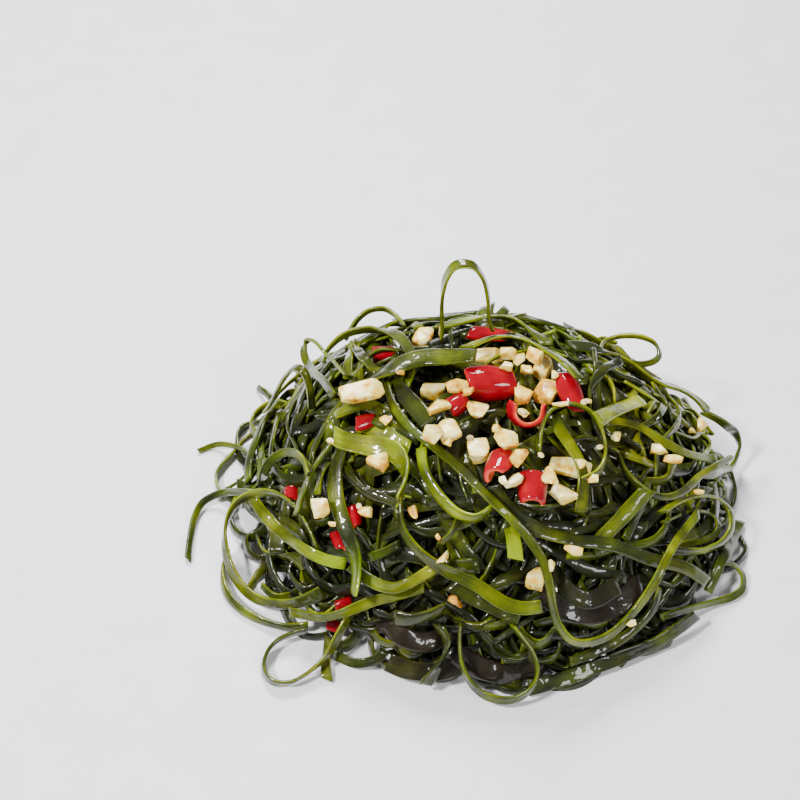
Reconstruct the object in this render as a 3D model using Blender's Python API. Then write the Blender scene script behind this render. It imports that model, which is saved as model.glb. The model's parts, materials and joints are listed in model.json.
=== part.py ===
"""A served heap of shredded kelp, with chopped garlic and cut red chilli.

The heap stands on z = 0 with its origin under the middle of the mound, +X to the
right and +Y to the back. A small core carries short kelp runs, and over it the long
shreds are laid one after another: each bends over what already lies under it, as a
wet strip does, and stays a hair clear of it. Lengths here are in millimetres and
become metres where a mesh is made.
"""

import math
import random

import bmesh
import bpy
import numpy as np
from mathutils import Matrix, Vector

MM = 0.001

# The mound: the surface that the outer shreds lie on, and the core inside it
MOUND_MIDDLE_Y = 3.0
MOUND_HALF_WIDTH = 88.0
MOUND_HALF_DEPTH = 75.0
MOUND_HEIGHT = 58.0
MOUND_FULLNESS = 2.7
CORE_HALF_WIDTH = 74.0
CORE_HALF_DEPTH = 61.0
CORE_HEIGHT = 45.0
CORE_FULLNESS = 2.3
CORE_FOOT = 0.8
CORE_HEIGHTS = (0.07, 0.3, 0.52, 0.7, 0.84, 0.94, 1.0)
CORE_TOP_REACH = 0.1
CORE_LUMPS = (0.035, 0.03)
CORE_SIDES = 20

# The kelp: strips cut from one blade
SHRED_THICKNESS = 1.2
CLEARANCE = 0.35
BEND_RADIUS = 6.0
SETTLE_ROUNDS = 4
LAY_TURNS = 8
SIGHT_SHIFT = 0.5
LOW_LAYER = 2.5
FLAT_SHARE = 0.2
UPRIGHT = math.radians(84)
LEAN_SHARE = 0.8
SLOPE_REACH = 4.0
EDGE_RADIUS = 15.0
EDGE_START = 0.25
RING_SPACING = 5.5
LONG_SHRED = 130.0
LONG_RING_SPACING = 7.0

# Wet kelp, from the dark of the tangle to the lightest strips
KELP_DARK = (0.03, 0.05, 0.015)
KELP_GREENS = ((0.045, 0.075, 0.018), (0.085, 0.12, 0.02), (0.16, 0.2, 0.035),
               (0.03, 0.05, 0.016))
KELP_ROUGHNESS = 0.28
KELP_COAT = 0.6

# The short runs fused to the core
RUN_COUNT = 86
RUN_TRIES = 900
RUN_DEPTH = 4.0
RUN_LOW_HEIGHT = 5.0
RUN_SPACING = 7.5
RUN_SINK = 0.9
RUN_LENGTHS = (50.0, 100.0)
RUN_WIDTHS = (2.6, 5.2)
RUN_TILT = 25.0
RUN_ON_EDGE = 0.85
RUN_DRAWS = 9
RUN_REACH = 0.9
RUN_SWAY = 0.04
ROUTE_STEP = 5.0
ROUTE_WAVE = 0.7
RIM_INSET = 5.0
RIM_START = 0.93
RIM_TURN = 0.6
FLOOR_GAP = 0.2
SEED = 22

# The photograph's view, for the routes that are read off it in its pixels
VIEW_FROM = Vector((0.0, -267.7, 361.7))
VIEW_PITCH = math.radians(-49.15)
VIEW_YAW = math.radians(-5.80)
VIEW_FOCAL_PIXELS = 1323.5
PICTURE_CENTRE = 400.0
SIGHT_START = 90.0
SIGHT_STEP = 0.5
NEAR_MISS = 20.0

# The height field that the shreds are laid on
CELL = 0.75
FIELD_HALF_X = 116.0
FIELD_HALF_Y = 104.0
STAMP_STEP = 0.5
CONTACT_STEP = 0.8
COARSE_STEP = 2.0


def mound(x, y):
    """Height of the mound's outer surface over a plan point."""
    reach = math.hypot(x / MOUND_HALF_WIDTH, (y - MOUND_MIDDLE_Y) / MOUND_HALF_DEPTH)
    return MOUND_HEIGHT * max(0.0, 1.0 - reach ** MOUND_FULLNESS)


def view_ray(px, py):
    """Direction from the eye through a pixel of the photograph."""
    ahead = Vector((math.sin(VIEW_YAW) * math.cos(VIEW_PITCH),
                    math.cos(VIEW_YAW) * math.cos(VIEW_PITCH),
                    math.sin(VIEW_PITCH)))
    right = ahead.cross(Vector((0, 0, 1))).normalized()
    up = right.cross(ahead)
    across = (px - PICTURE_CENTRE) / VIEW_FOCAL_PIXELS
    down = (py - PICTURE_CENTRE) / VIEW_FOCAL_PIXELS
    return (ahead + across * right - down * up).normalized()


def start_of(ray):
    """Where a line of sight comes down to the height of the tallest shred."""
    return VIEW_FROM + ray * ((SIGHT_START - VIEW_FROM.z) / ray.z)


def seen_point(px, py, above=0.0):
    """Point seen at a pixel, on the mound or on the ground beside it.

    A line of sight that only just misses the mound gives the point where it passes
    nearest, so that a shred there arches a little free of the heap.
    """
    ray = view_ray(px, py)
    step = ray * SIGHT_STEP
    point = start_of(ray)
    gap = point.z - mound(point.x, point.y) - above
    while gap > 0:
        further = point + step
        new_gap = further.z - mound(further.x, further.y) - above
        if gap < new_gap and gap < NEAR_MISS:
            break
        point, gap = further, new_gap
    return point


def standing_point(px, py, foot, other_foot):
    """Point seen at a pixel, on the upright plane through two feet."""
    ray = view_ray(px, py)
    along = other_foot - foot
    across = Vector((along.y, -along.x, 0.0))
    return VIEW_FROM + ray * (across.dot(foot - VIEW_FROM) / across.dot(ray))


class Field:
    """Height of the highest thing laid so far, over a grid of plan points."""

    def __init__(self):
        nx = int(2 * FIELD_HALF_X / CELL) + 1
        ny = int(2 * FIELD_HALF_Y / CELL) + 1
        self.top = np.zeros((nx, ny))
        self.near = self.top.copy()

    def cells(self, points):
        i = np.rint((points[:, 0] + FIELD_HALF_X) / CELL).astype(int)
        j = np.rint((points[:, 1] + FIELD_HALF_Y) / CELL).astype(int)
        return (np.clip(i, 1, self.top.shape[0] - 2),
                np.clip(j, 1, self.top.shape[1] - 2))

    def stamp(self, points):
        """Raise the field to the given points."""
        np.maximum.at(self.top, self.cells(points), points[:, 2])
        near = self.top.copy()
        for di in (-1, 0, 1):
            for dj in (-1, 0, 1):
                near = np.maximum(near, np.roll(self.top, (di, dj), (0, 1)))
        self.near = near

    def rise(self, points):
        """How far a set of points must rise together to clear what lies under it."""
        return float(np.max(self.near[self.cells(points)] - points[:, 2])) + CLEARANCE


def catmull_rom(points, steps=16):
    """Points of a smooth curve through the given ones."""
    ends = [2 * points[0] - points[1], *points, 2 * points[-1] - points[-2]]
    curve = []
    for a, b, c, d in zip(ends, ends[1:], ends[2:], ends[3:]):
        for k in range(steps):
            t = k / steps
            curve.append(0.5 * (2 * b + (c - a) * t + (2 * a - 5 * b + 4 * c - d) * t ** 2
                                + (3 * b - a - 3 * c + d) * t ** 3))
    curve.append(points[-1])
    return np.array(curve)


def spread_evenly(curve, spacing):
    """The same curve with its points a given distance apart."""
    along = np.concatenate([[0], np.cumsum(np.linalg.norm(np.diff(curve, axis=0), axis=1))])
    count = max(4, int(round(along[-1] / spacing)) + 1)
    wanted = np.linspace(0, along[-1], count)
    return np.column_stack([np.interp(wanted, along, curve[:, k]) for k in range(3)])


def unit(vectors):
    return vectors / np.maximum(np.linalg.norm(vectors, axis=1, keepdims=True), 1e-9)


def turning(plan):
    """How tightly a plan path bends at each point, in 1/mm, signed."""
    steps = np.diff(plan[:, :2], axis=0)
    length = np.linalg.norm(steps, axis=1)
    heading = np.unwrap(np.arctan2(steps[:, 1], steps[:, 0]))
    bend = np.zeros(len(plan))
    bend[1:-1] = np.diff(heading) / np.maximum(0.5 * (length[1:] + length[:-1]), 1e-6)
    bend[0], bend[-1] = bend[1], bend[-2]
    return bend


def smoothed(values, rounds):
    values = np.array(values, dtype=float)
    for _ in range(rounds):
        inner = 0.25 * values[:-2] + 0.5 * values[1:-1] + 0.25 * values[2:]
        values[1:-1] = inner
    return values


class Shred:
    """One strip of kelp: its rings' centres, and its width and face directions."""

    def __init__(self, route, width, edge=None, tilt=0.0, thickness=SHRED_THICKNESS,
                 spacing=RING_SPACING):
        self.rings = spread_evenly(catmull_rom([np.array(p, dtype=float) for p in route]),
                                   spacing)
        self.seen = self.rings[:, 2].copy()
        self.width = width
        self.thickness = thickness
        self.roll = self.choose_roll(edge, tilt)

    def choose_roll(self, edge, tilt):
        """Flat on the mound's slope, turning on edge where the path bends tightly."""
        plan = self.rings
        bend = np.abs(smoothed(turning(plan), 3))
        on_edge = np.clip(bend * EDGE_RADIUS - EDGE_START, 0, 1)
        if edge is not None:
            on_edge = np.full(len(plan), edge)
        on_edge = smoothed(on_edge, 4)
        ahead = unit(np.gradient(plan[:, :2], axis=0))
        side = np.column_stack([ahead[:, 1], -ahead[:, 0]]) * SLOPE_REACH
        fall = np.array([mound(x + sx, y + sy) - mound(x - sx, y - sy)
                         for (x, y), (sx, sy) in zip(plan[:, :2], side)])
        slope = np.arctan(fall / (2 * SLOPE_REACH))
        lean = smoothed(slope * LEAN_SHARE, 4) + math.radians(tilt)
        upright = math.copysign(UPRIGHT, lean.mean())
        return lean + (upright - lean) * on_edge

    def frames(self):
        """Width and face directions of every ring."""
        plan = self.rings.copy()
        plan[:, 2] = 0
        ahead = unit(np.gradient(self.rings, axis=0))
        heading = unit(np.gradient(plan, axis=0))
        side = np.column_stack([heading[:, 1], -heading[:, 0], np.zeros(len(plan))])
        side = unit(side - ahead * np.sum(side * ahead, axis=1, keepdims=True))
        over = np.cross(side, ahead)
        turn = self.roll[:, None]
        return (np.cos(turn) * side + np.sin(turn) * over,
                np.cos(turn) * over - np.sin(turn) * side)

    def solid_points(self, step):
        """Points through the strip's sections, and each one's place between rings."""
        wide, face = self.frames()
        span = np.linalg.norm(np.diff(self.rings, axis=0), axis=1)
        places = np.concatenate([[i + k / max(1, int(s / step)) for k in
                                  range(max(1, int(s / step)))] for i, s in enumerate(span)]
                                + [[len(span)]])
        at = np.arange(len(self.rings))
        centre, wide, face = (np.column_stack([np.interp(places, at, rows[:, k])
                                               for k in range(3)])
                              for rows in (self.rings, wide, face))
        columns = max(3, int(self.width / step) + 1)
        points, owners = [], []
        for a in np.linspace(-0.5, 0.5, columns):
            for b in (-0.5, 0.5):
                points.append(centre + a * self.width * wide + b * self.thickness * face)
                owners.append(places)
        return np.vstack(points), np.concatenate(owners)

    def lay(self, field, clearance, sunk=False, as_seen=False):
        """Drape the strip over the field, no lower than it is seen.

        Where it has to rise, it also moves along its line of sight, so that it still
        shows where it was read.
        """
        at = np.arange(len(self.rings))
        first = self.rings.copy()
        for turn in range(LAY_TURNS):
            need, owner = self.drape_need(field, clearance, sunk)
            need = np.concatenate([need, self.seen])
            owner = np.concatenate([owner, at])
            run = np.concatenate([[0], np.cumsum(np.linalg.norm(
                np.diff(self.rings[:, :2], axis=0), axis=1))])
            gap = run[:, None] - np.interp(owner, at, run)[None, :]
            height = np.max(need[None, :] - gap ** 2 / (2 * BEND_RADIUS), axis=1)
            self.rings[:, 2] = self.settle(height, need, owner)
            if as_seen and turn < LAY_TURNS - 2:
                scale = ((VIEW_FROM.z - self.rings[:, 2]) / (VIEW_FROM.z - first[:, 2]))
                eye = np.array(VIEW_FROM[:2])
                wanted = eye + (first[:, :2] - eye) * scale[:, None]
                self.rings[:, :2] += SIGHT_SHIFT * (wanted - self.rings[:, :2])

    def stand(self, field):
        """Keep the heights that are seen, with the feet clear of what lies there."""
        self.rings[:, 2] = self.seen
        need, owner = self.drape_need(field, CLEARANCE, False)
        foot = np.interp(np.arange(len(self.rings)), owner, need)
        self.rings[:, 2] = np.maximum(self.seen, foot)

    def stamp(self, field):
        field.stamp(self.solid_points(STAMP_STEP)[0])

    def stands_out(self):
        """How far the strip stands above the level that short runs fill."""
        points = self.solid_points(COARSE_STEP)[0]
        return max(z - max(mound(x, y) - RUN_DEPTH, RUN_LOW_HEIGHT) for x, y, z in points)

    def drape_need(self, field, clearance, sunk):
        """Lowest height of the centre line at places along the strip."""
        points, owner = self.solid_points(CONTACT_STEP)
        centre = np.interp(owner, np.arange(len(self.rings)), self.rings[:, 2])
        under = field.top if sunk else field.near
        floor = FLOOR_GAP if sunk else clearance
        bed = np.maximum(under[field.cells(points)] + clearance, floor)
        need = bed - (points[:, 2] - centre)
        places, index = np.unique(owner, return_inverse=True)
        highest = np.full(len(places), -1e9)
        np.maximum.at(highest, index, need)
        return highest, places

    def settle(self, height, need, owner):
        """Smooth the heights while they stay on or above what they need."""
        at = np.arange(len(height))
        low = np.minimum(owner.astype(int), len(height) - 2)
        part = owner - low
        for _ in range(SETTLE_ROUNDS):
            height = smoothed(height, 1)
            short = np.maximum(0, need - np.interp(owner, at, height))
            weight = short / (part ** 2 + (1 - part) ** 2)
            rise = np.zeros(len(height))
            np.maximum.at(rise, low, weight * (1 - part))
            np.maximum.at(rise, low + 1, weight * part)
            height = height + rise
        short = np.maximum(0, need - np.interp(owner, at, height))
        return height + short.max()


def main_material(name, color, roughness, coat=0.0):
    material = bpy.data.materials.new(name)
    material.use_nodes = True
    shader = material.node_tree.nodes["Principled BSDF"]
    shader.inputs["Base Color"].default_value = (*color, 1)
    shader.inputs["Roughness"].default_value = roughness
    shader.inputs["Coat Weight"].default_value = coat
    material.diffuse_color = (*color, 1)
    return material


def add_object(name, shape, material, collection):
    """Close a bmesh off as a named object, in metres."""
    bmesh.ops.scale(shape, vec=(MM, MM, MM), verts=shape.verts)
    bmesh.ops.recalc_face_normals(shape, faces=shape.faces)
    mesh = bpy.data.meshes.new(name)
    shape.to_mesh(mesh)
    shape.free()
    mesh.materials.append(material)
    thing = bpy.data.objects.new(name, mesh)
    collection.objects.link(thing)
    return thing


def extrude_face(shape, face, keep):
    """Extrude a face in place; the old one goes unless it is to be an end cap."""
    grown = bmesh.ops.extrude_face_region(shape, geom=[face])["geom"]
    if not keep:
        bmesh.ops.delete(shape, geom=[face], context="FACES_ONLY")
    made = [item for item in grown if isinstance(item, bmesh.types.BMVert)]
    return made, [item for item in grown if isinstance(item, bmesh.types.BMFace)][0]


def swept_body(sections, corner):
    """A closed body: one four-cornered section, extruded on through the others.

    corner gives the place of a corner, whose two shares are -0.5 or 0.5, in a section.
    """
    shape = bmesh.new()
    bmesh.ops.create_grid(shape, x_segments=1, y_segments=1, size=0.5)
    verts = shape.verts[:]
    shares = [(round(vert.co.x, 1), round(vert.co.y, 1)) for vert in verts]
    end = shape.faces[:][0]
    for section in range(sections):
        if section:
            before = verts
            made, end = extrude_face(shape, end, keep=section == 1)
            verts = [min(made, key=lambda new: (new.co - old.co).length) for old in before]
        for (a, b), vert in zip(shares, verts):
            vert.co = Vector(corner(section, a, b))
    return shape


def strip_mesh(shred):
    """The strip as a body, swept along the shred's rings."""
    wide, face = shred.frames()

    def corner(ring, a, b):
        return (shred.rings[ring] + a * shred.width * wide[ring]
                + b * shred.thickness * face[ring])

    return swept_body(len(shred.rings), corner)


def core_mesh():
    """A low lumpy dome with a flat foot, smaller than the mound."""
    shape = bmesh.new()
    bmesh.ops.create_circle(shape, cap_ends=True, segments=CORE_SIDES, radius=1.0)
    face = shape.faces[:][0]
    place_core_ring(shape.verts[:], CORE_FOOT, 0.0, 0)
    for ring, rise in enumerate(CORE_HEIGHTS, start=1):
        made, face = extrude_face(shape, face, keep=ring == 1)
        reach = max(CORE_TOP_REACH, (1 - rise) ** (1 / CORE_FULLNESS))
        place_core_ring(made, reach, CORE_HEIGHT * rise, ring)
    bmesh.ops.triangulate(shape, faces=shape.faces)
    return shape


def place_core_ring(verts, reach, height, ring):
    """Spread a ring of the core to its reach; ring 0 is still the unit circle."""
    middle, half_width, half_depth = 0.0, 1.0, 1.0
    if ring:
        middle, half_width, half_depth = MOUND_MIDDLE_Y, CORE_HALF_WIDTH, CORE_HALF_DEPTH
    for vert in verts:
        angle = math.atan2((vert.co.y - middle) / half_depth, vert.co.x / half_width)
        lump = (1 + CORE_LUMPS[0] * math.sin(5 * angle + ring)
                + CORE_LUMPS[1] * math.cos(3 * angle - ring))
        vert.co = Vector((CORE_HALF_WIDTH * reach * lump * math.cos(angle),
                          CORE_HALF_DEPTH * reach * lump * math.sin(angle)
                          + MOUND_MIDDLE_Y, height))


def surface_points(shape, step=0.7):
    """Points spread over a mesh's faces."""
    found = []
    for face in shape.faces:
        verts = [v.co for v in face.verts]
        for b, c in zip(verts[1:], verts[2:]):
            a = verts[0]
            cuts = max(1, int(max((b - a).length, (c - a).length, (c - b).length) / step))
            for i in range(cuts + 1):
                for j in range(cuts + 1 - i):
                    found.append(a + (b - a) * (i / cuts) + (c - a) * (j / cuts))
    return np.array(found)


def barest_place(field, draw):
    """The place, out of some drawn at random, that is deepest below the mound's skin."""
    places = []
    for _ in range(RUN_DRAWS):
        angle = draw.uniform(0, 2 * math.pi)
        reach = math.sqrt(draw.uniform(0.0, RUN_REACH))
        x = MOUND_HALF_WIDTH * reach * math.cos(angle)
        y = MOUND_HALF_DEPTH * reach * math.sin(angle) + MOUND_MIDDLE_Y
        i, j = field.cells(np.array([[x, y, 0.0]]))
        places.append((mound(x, y) - field.near[i[0], j[0]], x, y))
    return max(places)[1:]


def wandering_route(x, y, draw):
    """Route of a short run: it wanders both ways from a place, and keeps off the rim."""
    heading = draw.uniform(0, 2 * math.pi)
    length = draw.uniform(*RUN_LENGTHS)
    sway = draw.uniform(-RUN_SWAY, RUN_SWAY)
    phase = draw.uniform(0, 6)
    halves = [wander(x, y, heading + turn, length / 2, side * sway, phase)
              for turn, side in ((0, 1), (math.pi, -1))]
    return halves[1][:0:-1] + halves[0]


def wander(x, y, heading, length, sway, phase):
    """Points of a path that sways, and turns back in at the mound's rim."""
    route = [(x, y, 0)]
    for k in range(int(length / ROUTE_STEP)):
        heading += ROUTE_STEP * (sway + RUN_SWAY * math.sin(phase + k * ROUTE_WAVE))
        rim = math.hypot(x / (MOUND_HALF_WIDTH - RIM_INSET),
                         (y - MOUND_MIDDLE_Y) / (MOUND_HALF_DEPTH - RIM_INSET))
        if rim > RIM_START:
            inward = math.atan2(MOUND_MIDDLE_Y - y, -x)
            away = (inward - heading + math.pi) % (2 * math.pi) - math.pi
            heading += math.copysign(min(abs(away), RIM_TURN), away)
        x += ROUTE_STEP * math.cos(heading)
        y += ROUTE_STEP * math.sin(heading)
        if k % 2:
            route.append((x, y, 0))
    return route


def build_tangle(field, kelp, collection, parts):
    """The core and its short runs, joined into one body."""
    draw = random.Random(SEED)
    core = core_mesh()
    field.stamp(surface_points(core, 0.9))
    trunk = add_object("kelp_tangle", core, kelp, collection)
    number = 0
    for _ in range(RUN_TRIES):
        if number == RUN_COUNT:
            break
        route = wandering_route(*barest_place(field, draw), draw)
        run = Shred(route, draw.uniform(*RUN_WIDTHS),
                    edge=RUN_ON_EDGE if number % 4 == 3 else None,
                    tilt=draw.uniform(-RUN_TILT, RUN_TILT), spacing=RUN_SPACING)
        run.lay(field, -RUN_SINK, sunk=True)
        if run.stands_out() > 0:
            continue
        run.stamp(field)
        add_object(f"run_{number}", strip_mesh(run), kelp, parts)
        number += 1
    join = trunk.modifiers.new("join", "BOOLEAN")
    join.operation = "UNION"
    join.operand_type = "COLLECTION"
    join.collection = parts
    join.solver = "MANIFOLD"
    shape = bmesh.new()
    shape.from_object(trunk, bpy.context.evaluated_depsgraph_get())
    trunk.modifiers.clear()
    for run in parts.objects[:]:
        bpy.data.objects.remove(run)
    keep_main_body(shape)
    shape.to_mesh(trunk.data)
    shape.free()


def keep_main_body(shape):
    """Drop loose scraps and sealed hollows: only the largest shell stays."""
    bmesh.ops.triangulate(shape, faces=shape.faces)
    unseen = set(shape.faces)
    shells = []
    while unseen:
        shell, edge_of_it = [], [unseen.pop()]
        while edge_of_it:
            face = edge_of_it.pop()
            shell.append(face)
            for edge in face.edges:
                for other in edge.link_faces:
                    if other in unseen:
                        unseen.remove(other)
                        edge_of_it.append(other)
        shells.append(shell)
    shells.sort(key=len)
    loose = [face for shell in shells[:-1] for face in shell]
    bmesh.ops.delete(shape, geom=loose, context="FACES")


# Long shreds, lowest first: the pixels that each is read at, its width in millimetres,
# and where needed how far it stands on edge (0 flat, 1 upright) or leans (degrees).
LOW_SHREDS = {
    "strand_back_left_loop": dict(
        width=2.6, edge=0.9,
        seen=[(345, 340), (353, 326), (363, 314), (380, 308), (395, 315), (405, 327)]),
    "strand_back_right_ring": dict(
        width=2.4, edge=0.8,
        seen=[(598, 352), (606, 341), (625, 336), (645, 338), (658, 347), (658, 358),
              (645, 364), (625, 362)]),
    "strand_outer_right": dict(
        width=4.4, seen=[(570, 346), (590, 348), (620, 357), (650, 366), (680, 380),
                         (698, 397), (708, 413)]),
    "strand_left_free_end": dict(
        width=2.4, edge=0.6,
        seen=[(188, 559), (189, 545), (192, 528), (197, 512), (206, 500), (222, 494),
              (240, 492), (262, 494)]),
    "strand_left_floor": dict(
        width=3.0, edge=0.7,
        seen=[(228, 553), (222, 572), (226, 592), (240, 609), (262, 621), (285, 627),
              (308, 625)]),
    "strand_right_tail": dict(
        width=2.6, edge=0.5,
        seen=[(718, 561), (735, 566), (744, 580), (737, 594), (715, 602), (690, 608),
              (660, 617)]),
    "strand_right_edge": dict(
        width=3.6, seen=[(740, 522), (731, 545), (722, 560), (716, 575), (708, 592)]),
    "strand_bottom_edge": dict(
        width=4.6, seen=[(696, 616), (660, 640), (630, 653), (600, 665), (560, 680),
                         (528, 688)]),
    "strand_bottom_loop": dict(
        width=3.4, edge=1.0,
        seen=[(461, 622), (460, 650), (465, 672), (477, 690), (495, 699), (514, 699),
              (530, 690), (537, 673), (533, 655), (522, 638), (512, 625)]),
    "strand_front_dark": dict(
        width=4.4, seen=[(437, 624), (446, 641), (440, 662), (425, 684)]),
    "strand_bottom_left_loop": dict(
        width=3.8, edge=1.0,
        seen=[(308, 634), (285, 638), (269, 650), (263, 667), (273, 682), (291, 682),
              (312, 670), (327, 655), (337, 638), (349, 615)]),
    "strand_bottom_right": dict(
        width=3.2, seen=[(660, 588), (656, 604), (645, 620), (625, 637), (600, 650),
                         (570, 662)]),
    "strand_left_ring": dict(
        width=4.6, edge=0.85,
        seen=[(318, 548), (306, 521), (290, 502), (270, 493), (250, 495), (234, 507),
              (226, 525), (225, 546), (230, 566), (241, 585), (256, 598), (276, 604),
              (300, 602), (322, 592)]),
    "strand_left_edge": dict(
        width=3.2, seen=[(248, 482), (249, 460), (256, 440), (264, 420), (277, 402)]),
    "strand_left_ring_band": dict(
        width=3.6, seen=[(253, 503), (270, 521), (290, 539), (310, 553), (330, 561),
                         (346, 564)]),
    "strand_right_oval": dict(
        width=3.2, edge=0.75,
        seen=[(662, 512), (675, 503), (695, 497), (715, 498), (729, 509), (732, 525),
              (725, 540), (710, 549), (690, 552), (668, 550)]),
    "strand_right_outer_loop": dict(
        width=3.2, edge=0.8,
        seen=[(704, 412), (722, 422), (735, 438), (738, 455), (731, 468), (716, 474),
              (700, 474)]),
    "strand_right_slope": dict(
        width=2.8, seen=[(605, 423), (625, 422), (645, 430), (665, 443), (690, 455),
                         (715, 463)]),
    "strand_right_long_u": dict(
        width=2.4, seen=[(617, 453), (625, 470), (640, 487), (655, 496), (672, 497),
                         (687, 489), (700, 476), (714, 468), (730, 460)]),
    "strand_left_long": dict(
        width=3.2, seen=[(290, 612), (320, 617), (345, 612), (370, 602), (400, 595),
                         (424, 587)]),
    "strand_front_left_band": dict(
        width=3.6, seen=[(350, 566), (365, 577), (387, 588), (405, 585), (420, 577),
                         (436, 567)]),
    "strand_left_wide": dict(
        width=5.2, seen=[(348, 436), (338, 458), (335, 480), (337, 502), (343, 522),
                         (350, 542), (356, 565), (353, 592)]),
    "strand_left_slope": dict(
        width=3.2, seen=[(336, 438), (322, 455), (310, 475), (302, 495), (297, 514)]),
    "strand_right_pale": dict(
        width=4.8, seen=[(648, 490), (634, 505), (619, 521), (605, 536), (594, 550)]),
    "strand_lower_right_long": dict(
        width=4.2, seen=[(492, 486), (509, 509), (530, 525), (550, 534), (575, 540),
                         (600, 542), (625, 550), (650, 560), (680, 570), (706, 584)]),
}

MIDDLE_SHREDS = {
    "strand_front_sweep": dict(
        width=4.0, seen=[(402, 496), (401, 520), (408, 538), (421, 553), (440, 567),
                         (460, 577), (480, 587), (500, 600), (520, 606), (542, 602)]),
    "strand_j_curve": dict(
        width=3.6, seen=[(421, 448), (424, 470), (433, 488), (446, 504), (460, 515),
                         (476, 518), (493, 506)]),
    "strand_long_u": dict(
        width=2.8, seen=[(386, 384), (391, 400), (403, 420), (421, 437), (441, 452),
                         (461, 470), (481, 490), (501, 509), (521, 529), (538, 552),
                         (547, 572), (551, 595), (555, 616), (564, 634), (578, 643),
                         (596, 641), (616, 630), (635, 610), (650, 590), (662, 568),
                         (672, 548), (684, 531), (698, 514)]),
}

TOP_SHREDS = {
    "strand_right_arch": dict(
        width=3.8, seen=[(553, 416), (565, 438), (577, 456), (583, 478), (581, 512)]),
    "strand_thin_ring": dict(
        width=2.6, edge=0.9,
        seen=[(538, 452), (541, 430), (549, 413), (563, 405), (581, 406), (596, 419),
              (604, 438), (605, 458), (597, 473), (583, 480)]),
    "strand_right_cut_piece": dict(
        width=4.8, seen=[(598, 420), (612, 412), (626, 406), (641, 400)]),
    "strand_left_curl": dict(
        width=2.8, edge=0.7,
        seen=[(262, 484), (266, 468), (277, 456), (291, 452), (303, 460), (308, 474)]),
    "strand_top_left_band": dict(
        width=3.6, seen=[(322, 362), (332, 345), (350, 333), (370, 329), (391, 332),
                         (405, 343), (413, 358)]),
    "strand_top_left_curl": dict(
        width=2.8, edge=0.6,
        seen=[(334, 396), (325, 383), (313, 371), (305, 357), (305, 344), (312, 340),
              (321, 349), (334, 362), (348, 376)]),
    "strand_bright_band": dict(
        width=6.0, seen=[(333, 418), (350, 431), (372, 443), (392, 450), (403, 462),
                         (405, 480), (398, 500)]),
    "strand_top_band": dict(
        width=6.4, seen=[(343, 391), (362, 383), (382, 373), (402, 363), (426, 357),
                         (450, 357), (476, 356)]),
    "strand_back_band": dict(
        width=3.6, seen=[(440, 327), (465, 321), (490, 317), (514, 320), (531, 330),
                         (547, 345)]),
    "strand_top_right_band": dict(
        width=4.4, seen=[(466, 347), (489, 338), (511, 337), (535, 345), (562, 361),
                         (580, 378)]),
    "strand_front_leaf": dict(
        width=5.0, seen=[(394, 611), (407, 615), (421, 616), (444, 609)]),
}

# Shreds that stand up free of the heap
STANDING_SHREDS = {
    "strand_top_loop": dict(
        width=3.0,
        seen=[(441, 338), (442, 322), (442, 302), (445, 282), (452, 268), (464, 263),
              (476, 268), (484, 281), (488, 298), (489, 318), (492, 336)]),
    "strand_top_left_arch": dict(
        width=2.8,
        seen=[(266, 412), (274, 397), (281, 383), (290, 371), (299, 367), (306, 375),
              (310, 390), (312, 408)]),
}

# Garlic: the pixel at its middle, its length, width and height, and its turn in plan in
# degrees; the low ones lie between the shreds
LOW_GARLIC = {
    "garlic_left_chunk": ((321, 508), (5.0, 5.2, 4.2), 20),
    "garlic_low_chunk": ((536, 577), (5.2, 6.4, 4.2), -10),
}
GARLIC = {
    "garlic_long_slice": ((366, 393), (13.5, 6.4, 4.4), 24),
    "garlic_back_dome": ((424, 342), (7.0, 7.5, 6.5), 0),
    "garlic_top_chunk": ((489, 356), (9.0, 7.0, 5.5), 10),
    "garlic_top_right_chunk": ((541, 367), (6.0, 7.6, 5.2), -20),
    "garlic_yellow_chunk": ((546, 391), (7.0, 7.6, 4.6), -25),
    "garlic_white_chunk": ((434, 391), (7.0, 5.6, 4.6), -12),
    "garlic_middle_oval": ((450, 428), (6.2, 8.2, 4.4), 18),
    "garlic_front_chunk": ((479, 453), (6.2, 7.0, 5.0), 15),
    "garlic_front_flake": ((569, 470), (12.5, 6.0, 3.2), -12),
}
GARLIC_CUTS = 6
GARLIC_CUT_REACH = (0.42, 0.56)
GARLIC_CREAM = (0.8, 0.68, 0.42)

# Chilli: the pixel at its middle, outer radius, length, opening in degrees, the way its
# axis points in plan and rises, and where the middle of its skin faces (90 is up)
CHILLI = {
    "chilli_half_pod": ((492, 382), 6.4, 15.0, 175, 8, 0, 125),
    "chilli_open_ring": ((527, 417), 6.4, 4.4, 130, -80, 40, 262),
    "chilli_wedge": ((573, 393), 4.6, 13.5, 200, -68, -10, 80),
    "chilli_ring_piece": ((495, 464), 5.2, 8.6, 165, -105, 12, 140),
    "chilli_tube_piece": ((533, 488), 4.7, 8.8, 150, -85, -12, 90),
    "chilli_left_chip": ((458, 403), 3.6, 6.5, 180, 40, 10, 110),
    "chilli_back_chip": ((384, 353), 4.0, 7.5, 190, 15, 0, 90),
}
CHILLI_WALL = 1.3
CHILLI_TAPER = 0.2
CHILLI_STEP = math.radians(24)
CHILLI_RED = (0.6, 0.02, 0.012)


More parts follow.
